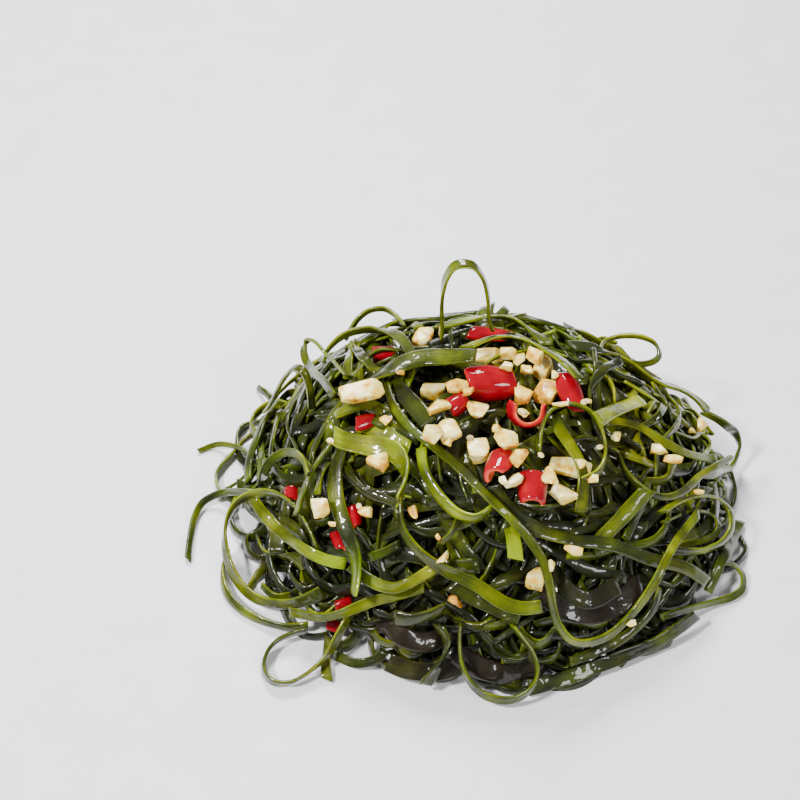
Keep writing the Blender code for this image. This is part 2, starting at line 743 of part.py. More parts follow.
def garlic_mesh(size, turn, draw):
    """A knife-cut chunk: a block with flat cuts taken off it all round."""
    shape = bmesh.new()
    bmesh.ops.create_cube(shape, size=1.0)
    for _ in range(GARLIC_CUTS):
        normal = Vector([draw.uniform(-1, 1) for _ in range(3)]).normalized()
        cut = bmesh.ops.bisect_plane(
            shape, geom=shape.verts[:] + shape.edges[:] + shape.faces[:],
            plane_co=normal * draw.uniform(*GARLIC_CUT_REACH), plane_no=normal,
            clear_outer=True)
        rim = [item for item in cut["geom_cut"] if isinstance(item, bmesh.types.BMEdge)]
        if rim:
            bmesh.ops.contextual_create(shape, geom=rim)
    bmesh.ops.scale(shape, vec=size, verts=shape.verts)
    spin = Matrix.Rotation(math.radians(turn), 3, "Z")
    bmesh.ops.rotate(shape, matrix=spin, verts=shape.verts)
    bmesh.ops.triangulate(shape, faces=shape.faces)
    return shape


def chilli_mesh(radius, length, opening, heading, rise, facing):
    """A piece of pod wall: part of a ring, a little narrower at one end."""
    sweep = math.radians(360 - opening)
    steps = math.ceil(sweep / CHILLI_STEP)

    def corner(section, a, b):
        angle = math.radians(facing) + (section / steps - 0.5) * sweep
        reach = radius * (1 - CHILLI_TAPER * (a + 0.5)) - CHILLI_WALL * (0.5 - b)
        return a * length, reach * math.cos(angle), reach * math.sin(angle)

    shape = swept_body(steps + 1, corner)
    turn = (Matrix.Rotation(math.radians(heading), 3, "Z")
            @ Matrix.Rotation(math.radians(-rise), 3, "Y"))
    bmesh.ops.rotate(shape, matrix=turn, verts=shape.verts)
    return shape


def set_down(shape, pixel, field):
    """Bring a small piece in along the line of sight to a pixel, until it rests."""
    ray = view_ray(*pixel)
    middle = sum((v.co for v in shape.verts), Vector()) / len(shape.verts)
    points = surface_points(shape) - np.array(middle)
    place = start_of(ray)
    while field.rise(points + np.array(place)) < 0:
        place = place + ray * SIGHT_STEP / 2
    bmesh.ops.translate(shape, vec=place - middle, verts=shape.verts)
    field.stamp(points + np.array(place))


def scatter_pieces(garlic, chilli, draw, field, collection):
    """Set the small pieces down, the ones at the back first."""
    for name, (pixel, *form) in sorted({**garlic, **chilli}.items(),
                                       key=lambda item: item[1][0][1]):
        if name in garlic:
            piece = garlic_mesh(*form, draw)
            finish = main_material(name, GARLIC_CREAM, 0.4)
        else:
            piece = chilli_mesh(*form)
            finish = main_material(name, CHILLI_RED, 0.2, 0.8)
        set_down(piece, pixel, field)
        add_object(name, piece, finish, collection)


def lay_seen_shreds(shreds, below, field, collection):
    """Lay each shred where it is seen, the low ones a layer below the mound's skin."""
    for name, made in shreds.items():
        above = made["width"] * 0.5 * made.get("edge", FLAT_SHARE) - below
        route = [tuple(seen_point(px, py, above)) for px, py in made["seen"]]
        length = sum(math.dist(a, b) for a, b in zip(route, route[1:]))
        spacing = LONG_RING_SPACING if length > LONG_SHRED else RING_SPACING
        shred = Shred(route, made["width"], made.get("edge"), made.get("tilt", 0.0),
                      spacing=spacing)
        shred.lay(field, CLEARANCE, as_seen=True)
        shred.stamp(field)
        add_object(name, strip_mesh(shred), kelp_material(name), collection)


def stand_seen_shreds(shreds, field, collection):
    """Free loops stand on the feet that are seen, upright between them."""
    for name, made in shreds.items():
        foot, other = (seen_point(*made["seen"][end]) for end in (0, -1))
        route = [tuple(standing_point(px, py, foot, other)) for px, py in made["seen"]]
        shred = Shred(route, made["width"], edge=0.0)
        shred.roll[:] = 0
        shred.stand(field)
        shred.stamp(field)
        add_object(name, strip_mesh(shred), kelp_material(name), collection)


def kelp_material(name):
    """Each shred takes one of the kelp's greens, by its name."""
    green = KELP_GREENS[sum(map(ord, name)) % len(KELP_GREENS)]
    return main_material(name, green, KELP_ROUGHNESS, KELP_COAT)


for thing in list(bpy.data.objects):
    bpy.data.objects.remove(thing)
heap = bpy.data.collections.new("shredded_kelp")
run_parts = bpy.data.collections.new("kelp_runs")
for group in (heap, run_parts):
    bpy.context.scene.collection.children.link(group)

height_field = Field()
dark_kelp = main_material("kelp_tangle", KELP_DARK, KELP_ROUGHNESS, KELP_COAT)
build_tangle(height_field, dark_kelp, heap, run_parts)
bpy.data.collections.remove(run_parts)
lay_seen_shreds(LOW_SHREDS, LOW_LAYER, height_field, heap)
chopping = random.Random(SEED)
scatter_pieces(LOW_GARLIC, {}, chopping, height_field, heap)
lay_seen_shreds(MIDDLE_SHREDS, 0.0, height_field, heap)
scatter_pieces(GARLIC, CHILLI, chopping, height_field, heap)
lay_seen_shreds(TOP_SHREDS, 0.0, height_field, heap)
stand_seen_shreds(STANDING_SHREDS, height_field, heap)
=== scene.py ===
"""Shredded kelp, dressed and served in a heap with chopped garlic and cut red chilli.

The heap is put together from the inside out: a dark middle, the many short shreds
packed round it, the long shreds over them, and then the garlic and the chilli. All
lengths are in metres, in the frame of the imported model.
"""

import json
import math
import random

import bmesh
import bpy
import numpy as np
from mathutils import Matrix, Vector, noise


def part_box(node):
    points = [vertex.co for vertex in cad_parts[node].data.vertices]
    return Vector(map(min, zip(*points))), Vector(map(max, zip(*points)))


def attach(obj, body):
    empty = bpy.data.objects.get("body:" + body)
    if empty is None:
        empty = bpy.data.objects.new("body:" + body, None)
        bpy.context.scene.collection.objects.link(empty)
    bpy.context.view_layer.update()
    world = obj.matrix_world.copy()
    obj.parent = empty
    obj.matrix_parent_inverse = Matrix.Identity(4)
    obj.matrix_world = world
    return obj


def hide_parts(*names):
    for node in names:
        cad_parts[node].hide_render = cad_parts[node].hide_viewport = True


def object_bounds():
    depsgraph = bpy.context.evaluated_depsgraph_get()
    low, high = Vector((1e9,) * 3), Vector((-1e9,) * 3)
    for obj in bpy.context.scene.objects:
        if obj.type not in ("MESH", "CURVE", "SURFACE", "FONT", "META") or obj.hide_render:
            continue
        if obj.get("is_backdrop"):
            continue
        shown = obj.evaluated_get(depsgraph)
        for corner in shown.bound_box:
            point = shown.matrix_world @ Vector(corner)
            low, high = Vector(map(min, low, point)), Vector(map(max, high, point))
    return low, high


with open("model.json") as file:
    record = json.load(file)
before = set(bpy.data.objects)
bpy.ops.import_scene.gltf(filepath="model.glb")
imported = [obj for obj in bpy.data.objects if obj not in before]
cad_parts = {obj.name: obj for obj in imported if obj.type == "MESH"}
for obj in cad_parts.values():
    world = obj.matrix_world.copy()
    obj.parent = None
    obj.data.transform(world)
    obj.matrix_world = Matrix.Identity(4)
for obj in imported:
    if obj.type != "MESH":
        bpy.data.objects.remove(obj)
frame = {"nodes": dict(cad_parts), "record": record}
cad_low, cad_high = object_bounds()
MM = 0.001


# The camera
#
# It looks down on the heap as a person seated at the table does. Its place also says
# what is seen at a pixel of the photograph, which is how some small shreds are placed.

PICTURE_SIZE = 800
FOCAL_PIXELS = 1323.5
SENSOR_WIDTH = 36.0
EYE = Vector((0.0, -0.2677, 0.3617))
EYE_PITCH = math.radians(-49.15)
EYE_YAW = math.radians(-5.80)

look = Vector((math.sin(EYE_YAW) * math.cos(EYE_PITCH),
               math.cos(EYE_YAW) * math.cos(EYE_PITCH), math.sin(EYE_PITCH)))
camera_data = bpy.data.cameras.new("camera")
camera_data.sensor_width = SENSOR_WIDTH
camera_data.lens = SENSOR_WIDTH * FOCAL_PIXELS / PICTURE_SIZE
camera_data.clip_start = 0.01
camera = bpy.data.objects.new("camera", camera_data)
camera.location = EYE
camera.rotation_euler = look.to_track_quat("-Z", "Y").to_euler()
bpy.context.scene.collection.objects.link(camera)
bpy.context.scene.camera = camera


def sight_line(px, py):
    """Direction from the eye through a pixel."""
    right = look.cross(Vector((0, 0, 1))).normalized()
    up = right.cross(look)
    across = (px - PICTURE_SIZE / 2) / FOCAL_PIXELS
    down = (py - PICTURE_SIZE / 2) / FOCAL_PIXELS
    return (look + across * right - down * up).normalized()


# The dark middle of the heap
#
# The shreds are packed so tightly there that no light comes back out. One lumpy body
# in almost black green, painted shade, closes the gaps between the shreds that lie round it.

MOUND_MIDDLE_Y = 3.0 * MM
MOUND_HALF_WIDTH = 88.0 * MM
MOUND_HALF_DEPTH = 75.0 * MM
MOUND_HEIGHT = 58.0 * MM
MOUND_FULLNESS = 2.7
HEART_SHARE = 0.8
HEART_SQUASH = 0.74
HEART_FOOT = 0.02
HEART_LUMPS = 0.05
HEART_LUMP_SCALE = 7.0


def mound(x, y):
    """Height of the heap's outer skin over a plan point."""
    reach = np.hypot(x / MOUND_HALF_WIDTH, (y - MOUND_MIDDLE_Y) / MOUND_HALF_DEPTH)
    return MOUND_HEIGHT * np.maximum(0.0, 1.0 - reach ** MOUND_FULLNESS)


def depth_under_skin(x, y, z):
    """How far a point lies inside the heap's skin, square to it."""
    reach = np.hypot(x / MOUND_HALF_WIDTH, (y - MOUND_MIDDLE_Y) / MOUND_HALF_DEPTH)
    slope = MOUND_HEIGHT * MOUND_FULLNESS * reach ** (MOUND_FULLNESS - 1) / MOUND_HALF_DEPTH
    return (mound(x, y) - z) / np.sqrt(1 + slope ** 2)


def finish_piece(name, shape, material, slot, *nodes):
    """Turn a bmesh into a named piece that rides on the heap."""
    mesh = bpy.data.meshes.new(name)
    shape.to_mesh(mesh)
    shape.free()
    mesh.materials.append(material)
    for polygon in mesh.polygons:
        polygon.use_smooth = True
    piece = bpy.data.objects.new(name, mesh)
    bpy.context.scene.collection.objects.link(piece)
    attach(piece, "root")
    if nodes:
        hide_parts(*nodes)
    return piece


def new_material(name):
    """A material and its nodes, with a short way to add one and join it up."""
    material = bpy.data.materials.new(name)
    material.use_nodes = True
    tree = material.node_tree

    def add(kind, values=None, **inputs):
        node = tree.nodes.new(kind)
        for key, value in (values or {}).items():
            setattr(node, key, value)
        for key, value in inputs.items():
            socket = node.inputs[int(key[1:])] if key[1:].isdigit() else node.inputs[
                key.replace("_", " ")]
            if isinstance(value, bpy.types.NodeSocket):
                tree.links.new(value, socket)
            else:
                socket.default_value = value
        return node

    return material, tree.nodes["Principled BSDF"], add, tree.links.new


def ramp(add, factor, stops):
    """A colour ramp over the given (place, colour) stops."""
    node = add("ShaderNodeValToRGB", Fac=factor)
    band = node.color_ramp
    for place, colour in stops[1:-1]:
        band.elements.new(place)
    for element, (place, colour) in zip(band.elements, stops):
        element.position = place
        element.color = (*colour, 1)
    return node.outputs["Color"]


def speckle(add, place, scale, detail=2.0, **more):
    """Soft random variation over the given place, around 0.5."""
    return add("ShaderNodeTexNoise", Vector=place, Scale=scale, Detail=detail,
               **more).outputs["Fac"]


def relief(add, height, strength, distance, **under):
    """Surface direction over a height that is only felt in the light."""
    return add("ShaderNodeBump", Height=height, Strength=strength, Distance=distance,
               **under).outputs["Normal"]


def set_finish(shader, **values):
    """Set the sockets of a finish that are the same all over it."""
    for name, value in values.items():
        shader.inputs[name.replace("_", " ")].default_value = value


def heart_material():
    """Near black as painted shade, with the wet glints of shreds that can only just be made
    out.
    """
    material, shader, add, link = new_material("kelp_shadow")
    place = add("ShaderNodeTexCoord").outputs["Object"]
    shreds = speckle(add, place, 420.0, 4.0, Distortion=1.2)
    link(ramp(add, shreds, ((0.35, (0.006, 0.008, 0.004)), (0.7, (0.014, 0.020, 0.007)))),
         shader.inputs["Base Color"])
    link(relief(add, shreds, 0.6, 0.002), shader.inputs["Normal"])
    set_finish(shader, Roughness=0.32)
    return material


heart = bmesh.new()
bmesh.ops.create_icosphere(heart, subdivisions=5, radius=1.0)
bmesh.ops.bisect_plane(heart, geom=heart.verts[:] + heart.edges[:] + heart.faces[:],
                       plane_co=(0, 0, HEART_FOOT), plane_no=(0, 0, -1), clear_outer=True)
bmesh.ops.holes_fill(heart, edges=[edge for edge in heart.edges if edge.is_boundary])
for vert in heart.verts:
    lump = 1 + HEART_LUMPS * noise.noise(vert.co * HEART_LUMP_SCALE)
    vert.co = Vector((vert.co.x * MOUND_HALF_WIDTH * HEART_SHARE * lump,
                      vert.co.y * MOUND_HALF_DEPTH * HEART_SHARE * lump + MOUND_MIDDLE_Y,
                      vert.co.z * MOUND_HEIGHT * HEART_SQUASH * lump))
finish_piece("kelp_middle", heart, heart_material(), "kelp_dark", "kelp_tangle")


# The wet kelp itself
#
# Kelp is a leathery brown-green blade, cut into strips and boiled. Its two skins are
# dark and slippery, with a fine grain along the strip. Its thin cut edges look yellow-green,
# painted lighter partly as their paler flesh and partly as painted light coming through.

GREENS = ((0.0, (0.009, 0.011, 0.004)), (0.25, (0.018, 0.024, 0.002)),
          (0.5, (0.049, 0.064, 0.001)), (0.75, (0.118, 0.145, 0.001)),
          (1.0, (0.265, 0.320, 0.001)))
SOAKED_BROWN = (0.014, 0.008, 0.006, 1)
GRAIN_ALONG = 160.0
GRAIN_ACROSS = 5.0
PATCHES_ALONG = 75.0
SHADE_IN_DEPTH = 0.42

# How light a strip is from its middle line out to its cut edge, around 0.5: darker just
# inside the edge, lighter at the edge itself as paler flesh and as painted light through it
PALE_EDGE_AND_PAINTED_LIGHT = ((0.0, (0.52,) * 3), (0.45, (0.5,) * 3), (0.8, (0.3,) * 3), (0.93, (0.55,) * 3),
          (1.0, (1.0,) * 3))


def parts_of(add, name):
    """The three values of one of a piece's attributes."""
    values = add("ShaderNodeAttribute", {"attribute_name": name}).outputs["Vector"]
    return add("ShaderNodeSeparateXYZ", Vector=values).outputs


def reckon(add, operation, *values):
    """One step of arithmetic on the values of a finish."""
    named = {f"_{place}": value for place, value in enumerate(values)}
    return add("ShaderNodeMath", {"operation": operation}, **named).outputs[0]


def from_speckle(add, value, low, high):
    """Bring the spread of a speckle to the range that a socket needs."""
    return add("ShaderNodeMapRange", Value=value, From_Min=0.3, From_Max=0.7, To_Min=low,
               To_Max=high).outputs[0]


def kelp_material():
    """Olive green with a grain, cut edges lighter as paler flesh and painted light, painted
    shade deep in the heap, and wet.
    """
    material, shader, add, link = new_material("wet_kelp")
    strip, look_of = parts_of(add, "strip"), parts_of(add, "look")
    place = add("ShaderNodeTexCoord").outputs["Object"]

    # Fine grain along the strip, and larger clouds of lighter and darker green
    grain_place = add("ShaderNodeCombineXYZ",
                      X=reckon(add, "MULTIPLY", strip["X"], GRAIN_ALONG),
                      Y=reckon(add, "MULTIPLY", strip["Y"], GRAIN_ACROSS), Z=strip["Z"])
    grain = speckle(add, grain_place.outputs[0], 1.0, 5.0, Roughness=0.6)
    clouds = speckle(add, place, 95.0, 3.0)
    patch_place = add("ShaderNodeCombineXYZ", Y=strip["Z"],
                      X=reckon(add, "MULTIPLY", strip["X"], PATCHES_ALONG))
    patches = speckle(add, patch_place.outputs[0], 1.0)
    across = ramp(add, reckon(add, "ABSOLUTE", strip["Y"]), PALE_EDGE_AND_PAINTED_LIGHT)

    # The cut edge is painted lighter, as paler flesh and as painted light through it, and
    # what lies deep in the heap is darker, as painted shade
    lit = look_of["X"]
    for value, weight in ((clouds, 0.7), (grain, 0.4), (patches, 1.3), (across, 0.5)):
        centred = reckon(add, "SUBTRACT", value, 0.5)
        lit = reckon(add, "MULTIPLY_ADD", centred, weight, lit)
    lit = reckon(add, "MULTIPLY_ADD", look_of["Y"], -SHADE_IN_DEPTH, lit)
    soaked = add("ShaderNodeMix", {"data_type": "RGBA"}, _0=look_of["Z"],
                 _6=ramp(add, lit, GREENS), _7=SOAKED_BROWN).outputs[2]
    hue = from_speckle(add, speckle(add, place, 34.0), 0.475, 0.52)
    link(add("ShaderNodeHueSaturation", Color=soaked, Hue=hue).outputs[0],
         shader.inputs["Base Color"])

    link(from_speckle(add, clouds, 0.22, 0.42), shader.inputs["Roughness"])
    pits = relief(add, speckle(add, place, 900.0, 3.0), 0.25, 0.0004)
    link(relief(add, grain, 0.3, 0.0005, Normal=pits), shader.inputs["Normal"])

    # The wet on it is a thin, uneven film that breaks its glints up
    film = relief(add, speckle(add, place, 300.0, 1.6), 0.45, 0.0009)
    link(film, shader.inputs["Coat Normal"])
    set_finish(shader, Specular_IOR_Level=0.1, Coat_Weight=0.8, Coat_Roughness=0.04,
               Coat_IOR=1.38, Subsurface_Weight=0.3, Subsurface_Radius=(0.8, 1.0, 0.1),
               Subsurface_Scale=0.0012)
    return material


wet_kelp = kelp_material()


# One strip
#
# A kelp shred is cut straight off the blade, so it has two flat skins and two thin cut
# edges. It cups a little across its width, its edges wave, and its ends are cut aslant.

SHRED_THICKNESS = 1.1 * MM
CUP = 0.16
CUP_CHANGE = 0.8
CUP_LENGTH = 25.0 * MM
RIPPLE = 0.3 * MM
RIPPLE_LENGTH = 9.0 * MM
WIDTH_CHANGE = 0.22
WIDTH_LENGTH = 14.0 * MM
TWIST = 0.7
TWIST_LENGTH = 24.0 * MM
END_SLANT = 0.7
FINE_SPACING = 1.3 * MM
DEEP = 13.0 * MM

# Half of a strip's section, as shares of its half width and half thickness
HALF_SECTION = ((-1.0, 0.0), (-0.95, 0.72), (-0.8, 1.0), (-0.28, 1.0), (0.28, 1.0),
                (0.8, 1.0), (0.95, 0.72))
LIGHT_HALF_SECTION = ((-1.0, 0.0), (-0.85, 1.0), (0.0, 1.0), (0.85, 1.0))


def rows_at(wanted, known, rows):
    """Rows of values where they are wanted, from rows at the places that are known."""
    return np.column_stack([np.interp(wanted, known, column) for column in rows.T])


def curve_through(points, spacing):
    """A smooth curve through the points, and where each of its points lies among them."""
    ends = [2 * points[0] - points[1], *points, 2 * points[-1] - points[-2]]
    curve, share = [], []
    for number, (a, b, c, d) in enumerate(zip(ends, ends[1:], ends[2:], ends[3:])):
        for t in np.linspace(0, 1, 16, endpoint=False):
            curve.append(0.5 * (2 * b + (c - a) * t + (2 * a - 5 * b + 4 * c - d) * t ** 2
                                + (3 * b - a - 3 * c + d) * t ** 3))
            share.append(number + t)
    curve = np.array([*curve, points[-1]])
    share = np.array([*share, len(points) - 1])
    along = np.concatenate([[0], np.cumsum(np.linalg.norm(np.diff(curve, axis=0), axis=1))])
    wanted = np.linspace(0, along[-1], max(6, int(along[-1] / spacing) + 1))
    return rows_at(wanted, along, curve), np.interp(wanted, along, share)


def unit(rows):
    """Directions brought to a length of one."""
    return rows / np.maximum(np.linalg.norm(rows, axis=1, keepdims=True), 1e-9)


def new_strips():
    """An empty body for strips, with the values that their finish reads."""
    shape = bmesh.new()
    shape.verts.layers.float_vector.new("strip")
    shape.verts.layers.float_vector.new("look")
    return shape


def add_strip(shape, line, wide, width, tones, draw, sides=HALF_SECTION, brown=0.0):
    """One strip as a closed skin: a sheet rolled round its middle line, ends filled."""
    section = [*sides, *((-a, -b) for a, b in sides)]
    around, rings = len(section), len(line)
    seed = draw.uniform(0, 500)
    cup = CUP * draw.choice((-1, 1)) * draw.uniform(0.4, 1.2)
    slant = [draw.uniform(-END_SLANT, END_SLANT) for _ in range(2)]
    ahead = unit(np.gradient(line, axis=0))
    wide = unit(wide - ahead * np.sum(wide * ahead, axis=1, keepdims=True))
    face = np.cross(wide, ahead)
    along = np.linspace(0, 1, rings)
    length = np.sum(np.linalg.norm(np.diff(line, axis=0), axis=1))
    turn = TWIST * np.array([[noise.noise(Vector((a * length / TWIST_LENGTH, seed, 20)))]
                             for a in along])
    wide, face = (np.cos(turn) * wide + np.sin(turn) * face,
                  np.cos(turn) * face - np.sin(turn) * wide)
    strip_at, look_at = (shape.verts.layers.float_vector[name] for name in ("strip", "look"))

    # The columns of the sheet are the rings of the strip, its rows go round the section
    sheet = bmesh.ops.create_grid(shape, x_segments=rings - 1, y_segments=around,
                                  size=0.5)["verts"]
    for vert in sheet:
        ring = round((vert.co.x + 0.5) * (rings - 1))
        a, b = section[round((vert.co.y + 0.5) * around) % around]
        run = along[ring] * length
        half = 0.5 * width * (1 + WIDTH_CHANGE * noise.noise(
            Vector((run / WIDTH_LENGTH, seed, 0))))
        bow = cup * (a * a - 0.35) * half * (1 + CUP_CHANGE * noise.noise(
            Vector((run / CUP_LENGTH, seed, 5))))
        wave = RIPPLE * a ** 3 * noise.noise(
            Vector((run / RIPPLE_LENGTH, seed, 9 * np.sign(a))))
        shear = a * half * (slant[0] * (1 - along[ring]) ** 3 + slant[1] * along[ring] ** 3)
        spot = (line[ring] + a * half * wide[ring] + shear * ahead[ring]
                + (0.5 * b * SHRED_THICKNESS + bow + wave) * face[ring])
        spot[2] = max(spot[2], 0.0)
        vert.co = spot
        # How deep under the heap's skin the point lies; the finish darkens deep points as
        # painted shade
        deep = depth_under_skin(*spot) / DEEP
        tone = tones[0] + (tones[1] - tones[0]) * along[ring]
        vert[strip_at] = (run + seed, a, math.copysign(1, b) + seed)
        vert[look_at] = (tone, min(max(deep, 0.0), 1.0), brown)
    seam = [vert for vert in sheet if len(vert.link_edges) < 4]
    bmesh.ops.remove_doubles(shape, verts=seam, dist=1e-7)
    rim = dict.fromkeys(edge for vert in sheet if vert.is_valid
                        for edge in vert.link_edges if edge.is_boundary)
    bmesh.ops.holes_fill(shape, edges=list(rim))


def finish_strips(name, shape, slot, *nodes):
    """Turn the skins of some strips outwards and make one piece of them."""
    bmesh.ops.recalc_face_normals(shape, faces=shape.faces)
    finish_piece(name, shape, wet_kelp, slot, *nodes)


# The short shreds packed round the middle
#
# Most of the heap is shreds that show only here and there between the long ones. They
# are laid one after another, each on what lies there already and under what the packed
# model has over it, by a rule with a seeded draw.

CELL = 0.8 * MM
MARGIN = 12.0 * MM
GAP = 0.15 * MM
RIM_LAYER = 3.6 * MM
BEND_RADIUS = 9.0 * MM
EDGE_RADIUS = 15.0 * MM
UPRIGHT = math.radians(84)
PACKED_SPACING = 1.7 * MM
PLACES_TRIED = 14
SLOPE_SPAN = 4.0 * MM
LEAN_SHARE = 0.8
FREE_BEND = 0.25
TURNS = 4
TURNS_WHEN_SEEN = 10
SETTLING = 0.4
CROWDED_BY = 1.5 * MM
CROWDED_SHARE = 0.35


def points_on(mesh, cuts=9):
    """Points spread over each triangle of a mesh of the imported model."""
    corners = np.array([[mesh.vertices[v].co for v in face.vertices]
                        for face in mesh.polygons])
    shares = np.array([(i, j, cuts - i - j) for i in range(cuts + 1)
                       for j in range(cuts + 1 - i)]) / cuts
    return np.einsum("sk,tkx->tsx", shares, corners).reshape(-1, 3)


class Bed:
    """What lies under a new shred and what hangs over it, over a grid of the plan."""

    def __init__(self):
        self.size = [int((high + MARGIN - (low - MARGIN)) / CELL) + 1
                     for low, high in zip(cad_low[:2], cad_high[:2])]
        x, y = (cad_low[k] - MARGIN + CELL * np.arange(self.size[k]) for k in (0, 1))
        self.skin = mound(x[:, None], y[None, :])
        reach = np.hypot(x[:, None] / (MOUND_HALF_WIDTH * HEART_SHARE),
                         (y[None, :] - MOUND_MIDDLE_Y) / (MOUND_HALF_DEPTH * HEART_SHARE))
        self.under = (MOUND_HEIGHT * HEART_SQUASH
                      * np.sqrt(np.maximum(0, 1 - reach ** 2)) - CELL)
        self.held = np.full(self.skin.shape, 1.0)
        self.over = self.held

    def cells(self, points):
        """The cells of the grid that points are over."""
        return tuple(np.clip(np.rint((points[..., k] - cad_low[k] + MARGIN) / CELL)
                             .astype(int), 1, self.size[k] - 2) for k in (0, 1))

    def hang(self, points):
        """Keep new shreds under the given points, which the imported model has."""
        np.minimum.at(self.held, self.cells(points), points[:, 2])
        for axis in (0, 1):
            for turn in (-1, 1):
                self.held = np.minimum(self.held, np.roll(self.held, turn, axis))

    def fill_to(self, above_skin):
        """Set how high new shreds may pile, measured from the heap's skin."""
        self.over = np.minimum(self.held, np.maximum(self.skin + above_skin, RIM_LAYER))

    def stamp(self, points):
        """Raise the bed to what has just been laid on it."""
        np.maximum.at(self.under, self.cells(points), points[..., 2])

    def barest(self, draw, part, spread):
        """The place, out of some drawn at random, with the most room over it."""
        places = []
        for _ in range(PLACES_TRIED):
            angle = draw.uniform(*part)
            reach = math.sqrt(draw.uniform(0.0, spread))
            x = MOUND_HALF_WIDTH * reach * math.cos(angle)
            y = MOUND_HALF_DEPTH * reach * math.sin(angle) + MOUND_MIDDLE_Y
            i, j = self.cells(np.array([x, y]))
            places.append((self.over[i, j] - self.under[i, j], x, y))
        return max(places)[1:]


def smooth(values, rounds):
    """Values along a strip, each evened out with its neighbours."""
    for _ in range(rounds):
        values = np.concatenate([values[:1], 0.25 * values[:-2] + 0.5 * values[1:-1]
                                 + 0.25 * values[2:], values[-1:]])
    return values


def roll_of(line, upright, tilt):
    """Flat on the heap's slope, turning on edge where the path bends tightly."""
    ahead = unit(np.gradient(line[:, :2], axis=0))
    side = np.column_stack([ahead[:, 1], -ahead[:, 0]]) * SLOPE_SPAN
    rise = mound(*(line[:, :2] + side).T) - mound(*(line[:, :2] - side).T)
    lean = smooth(np.arctan(rise / (2 * SLOPE_SPAN)) * LEAN_SHARE, 8) + tilt
    if upright is None:
        step = np.linalg.norm(np.diff(line[:, :2], axis=0), axis=1).mean()
        bend = np.abs(np.gradient(np.unwrap(np.arctan2(ahead[:, 1], ahead[:, 0])))) / step
        upright = smooth(np.clip(smooth(bend, 6) * EDGE_RADIUS - FREE_BEND, 0, 1), 8)
    return lean + (math.copysign(UPRIGHT, lean.mean()) - lean) * upright


def width_direction(line, roll):
    """Which way a strip's width points along it, from how far it is rolled over."""
    level = line.copy()
    level[:, 2] = 0
    ahead, heading = unit(np.gradient(line, axis=0)), unit(np.gradient(level, axis=0))
    side = np.column_stack([heading[:, 1], -heading[:, 0], np.zeros(len(line))])
    side = unit(side - ahead * np.sum(side * ahead, axis=1, keepdims=True))
    return np.cos(roll)[:, None] * side + np.sin(roll)[:, None] * np.cross(side, ahead)


def section_points(line, wide, width):
    """Points over the strip's skins, close enough together to leave no cell out."""
    face = np.cross(wide, unit(np.gradient(line, axis=0)))
    fine = np.linspace(0, len(line) - 1, 3 * len(line))
    at = np.arange(len(line))
    line, wide, face = (rows_at(fine, at, rows) for rows in (line, wide, face))
    shares = [(a, b) for a in np.linspace(-0.5, 0.5, max(3, int(width / CELL) + 2))
              for b in (-0.5, 0.5)]
    return np.stack([line + a * width * wide + b * SHRED_THICKNESS * face
                     for a, b in shares], axis=1)


def lie_down(bed, route, width, upright=None, tilt=0.0, seen=False):
    """Rest a strip on the bed; nothing is given back where there is no room for it."""
    line, _ = curve_through(np.array(route), PACKED_SPACING)
    first, at = line.copy(), np.arange(len(line))
    roll = roll_of(line, upright, tilt)
    for turns_left in reversed(range(TURNS_WHEN_SEEN if seen else TURNS)):
        wide = width_direction(line, roll)
        points = section_points(line, wide, width)
        fine = np.linspace(0, len(line) - 1, len(points))
        offset = points[..., 2] - np.interp(fine, at, line[:, 2])[:, None]
        cells = bed.cells(points)
        need = np.max(np.maximum(bed.under[cells], 0) + GAP - offset, axis=1)
        room = np.min(bed.over[cells] - GAP - offset, axis=1)
        crowded = np.mean(need - room > CROWDED_BY)

        # It spans the hollows of the bed, and bends no tighter than its stiffness lets it
        run = np.concatenate([[0], np.cumsum(np.linalg.norm(
            np.diff(line[:, :2], axis=0), axis=1))])
        arch = (run[:, None] - np.interp(fine, at, run)[None, :]) ** 2 / (2 * BEND_RADIUS)
        ceiling = np.min(room[None, :] + arch, axis=1)
        height = np.minimum(np.max(need[None, :] - arch, axis=1), ceiling)
        height = np.maximum(np.minimum(smooth(height, 3), ceiling), 0.5 * SHRED_THICKNESS)

        # As it settles it keeps to the lines of sight, so it still shows at its pixels
        if seen and turns_left:
            line[:, 2] += SETTLING * (height - line[:, 2])
            share = (EYE.z - line[:, 2]) / (EYE.z - first[:, 2])
            eye = np.array(EYE[:2])
            line[:, :2] = eye + (first[:, :2] - eye) * share[:, None]
        else:
            line[:, 2] = height
    if crowded > CROWDED_SHARE and not seen:
        return None
    wide = width_direction(line, roll)
    bed.stamp(section_points(line, wide, width))
    return line, wide


# Of a packed shred's path: the length of a step and how far each turns, in radians; and
# how near the rim, as a share of the way out, it starts to turn back
STEP = 5.0 * MM
WAVE = 0.2
WAVE_PACE = 0.7
MOST_SWAY = 0.24
TURN_BACK = 0.86
MOST_TURN = 0.6


def wander(x, y, heading, length, sway, phase):
    """Points of a path that sways, and turns back in at the heap's rim."""
    route = [(x, y, 0.0)]
    for number in range(int(length / STEP)):
        heading += sway + WAVE * math.sin(phase + number * WAVE_PACE)
        rim = math.hypot(x / MOUND_HALF_WIDTH, (y - MOUND_MIDDLE_Y) / MOUND_HALF_DEPTH)
        if rim > TURN_BACK:
            inward = math.atan2(MOUND_MIDDLE_Y - y, -x)
            away = (inward - heading + math.pi) % (2 * math.pi) - math.pi
            heading += math.copysign(min(abs(away), MOST_TURN), away)
        x += STEP * math.cos(heading)
        y += STEP * math.sin(heading)
        if number % 2:
            route.append((x, y, 0.0))
    return route


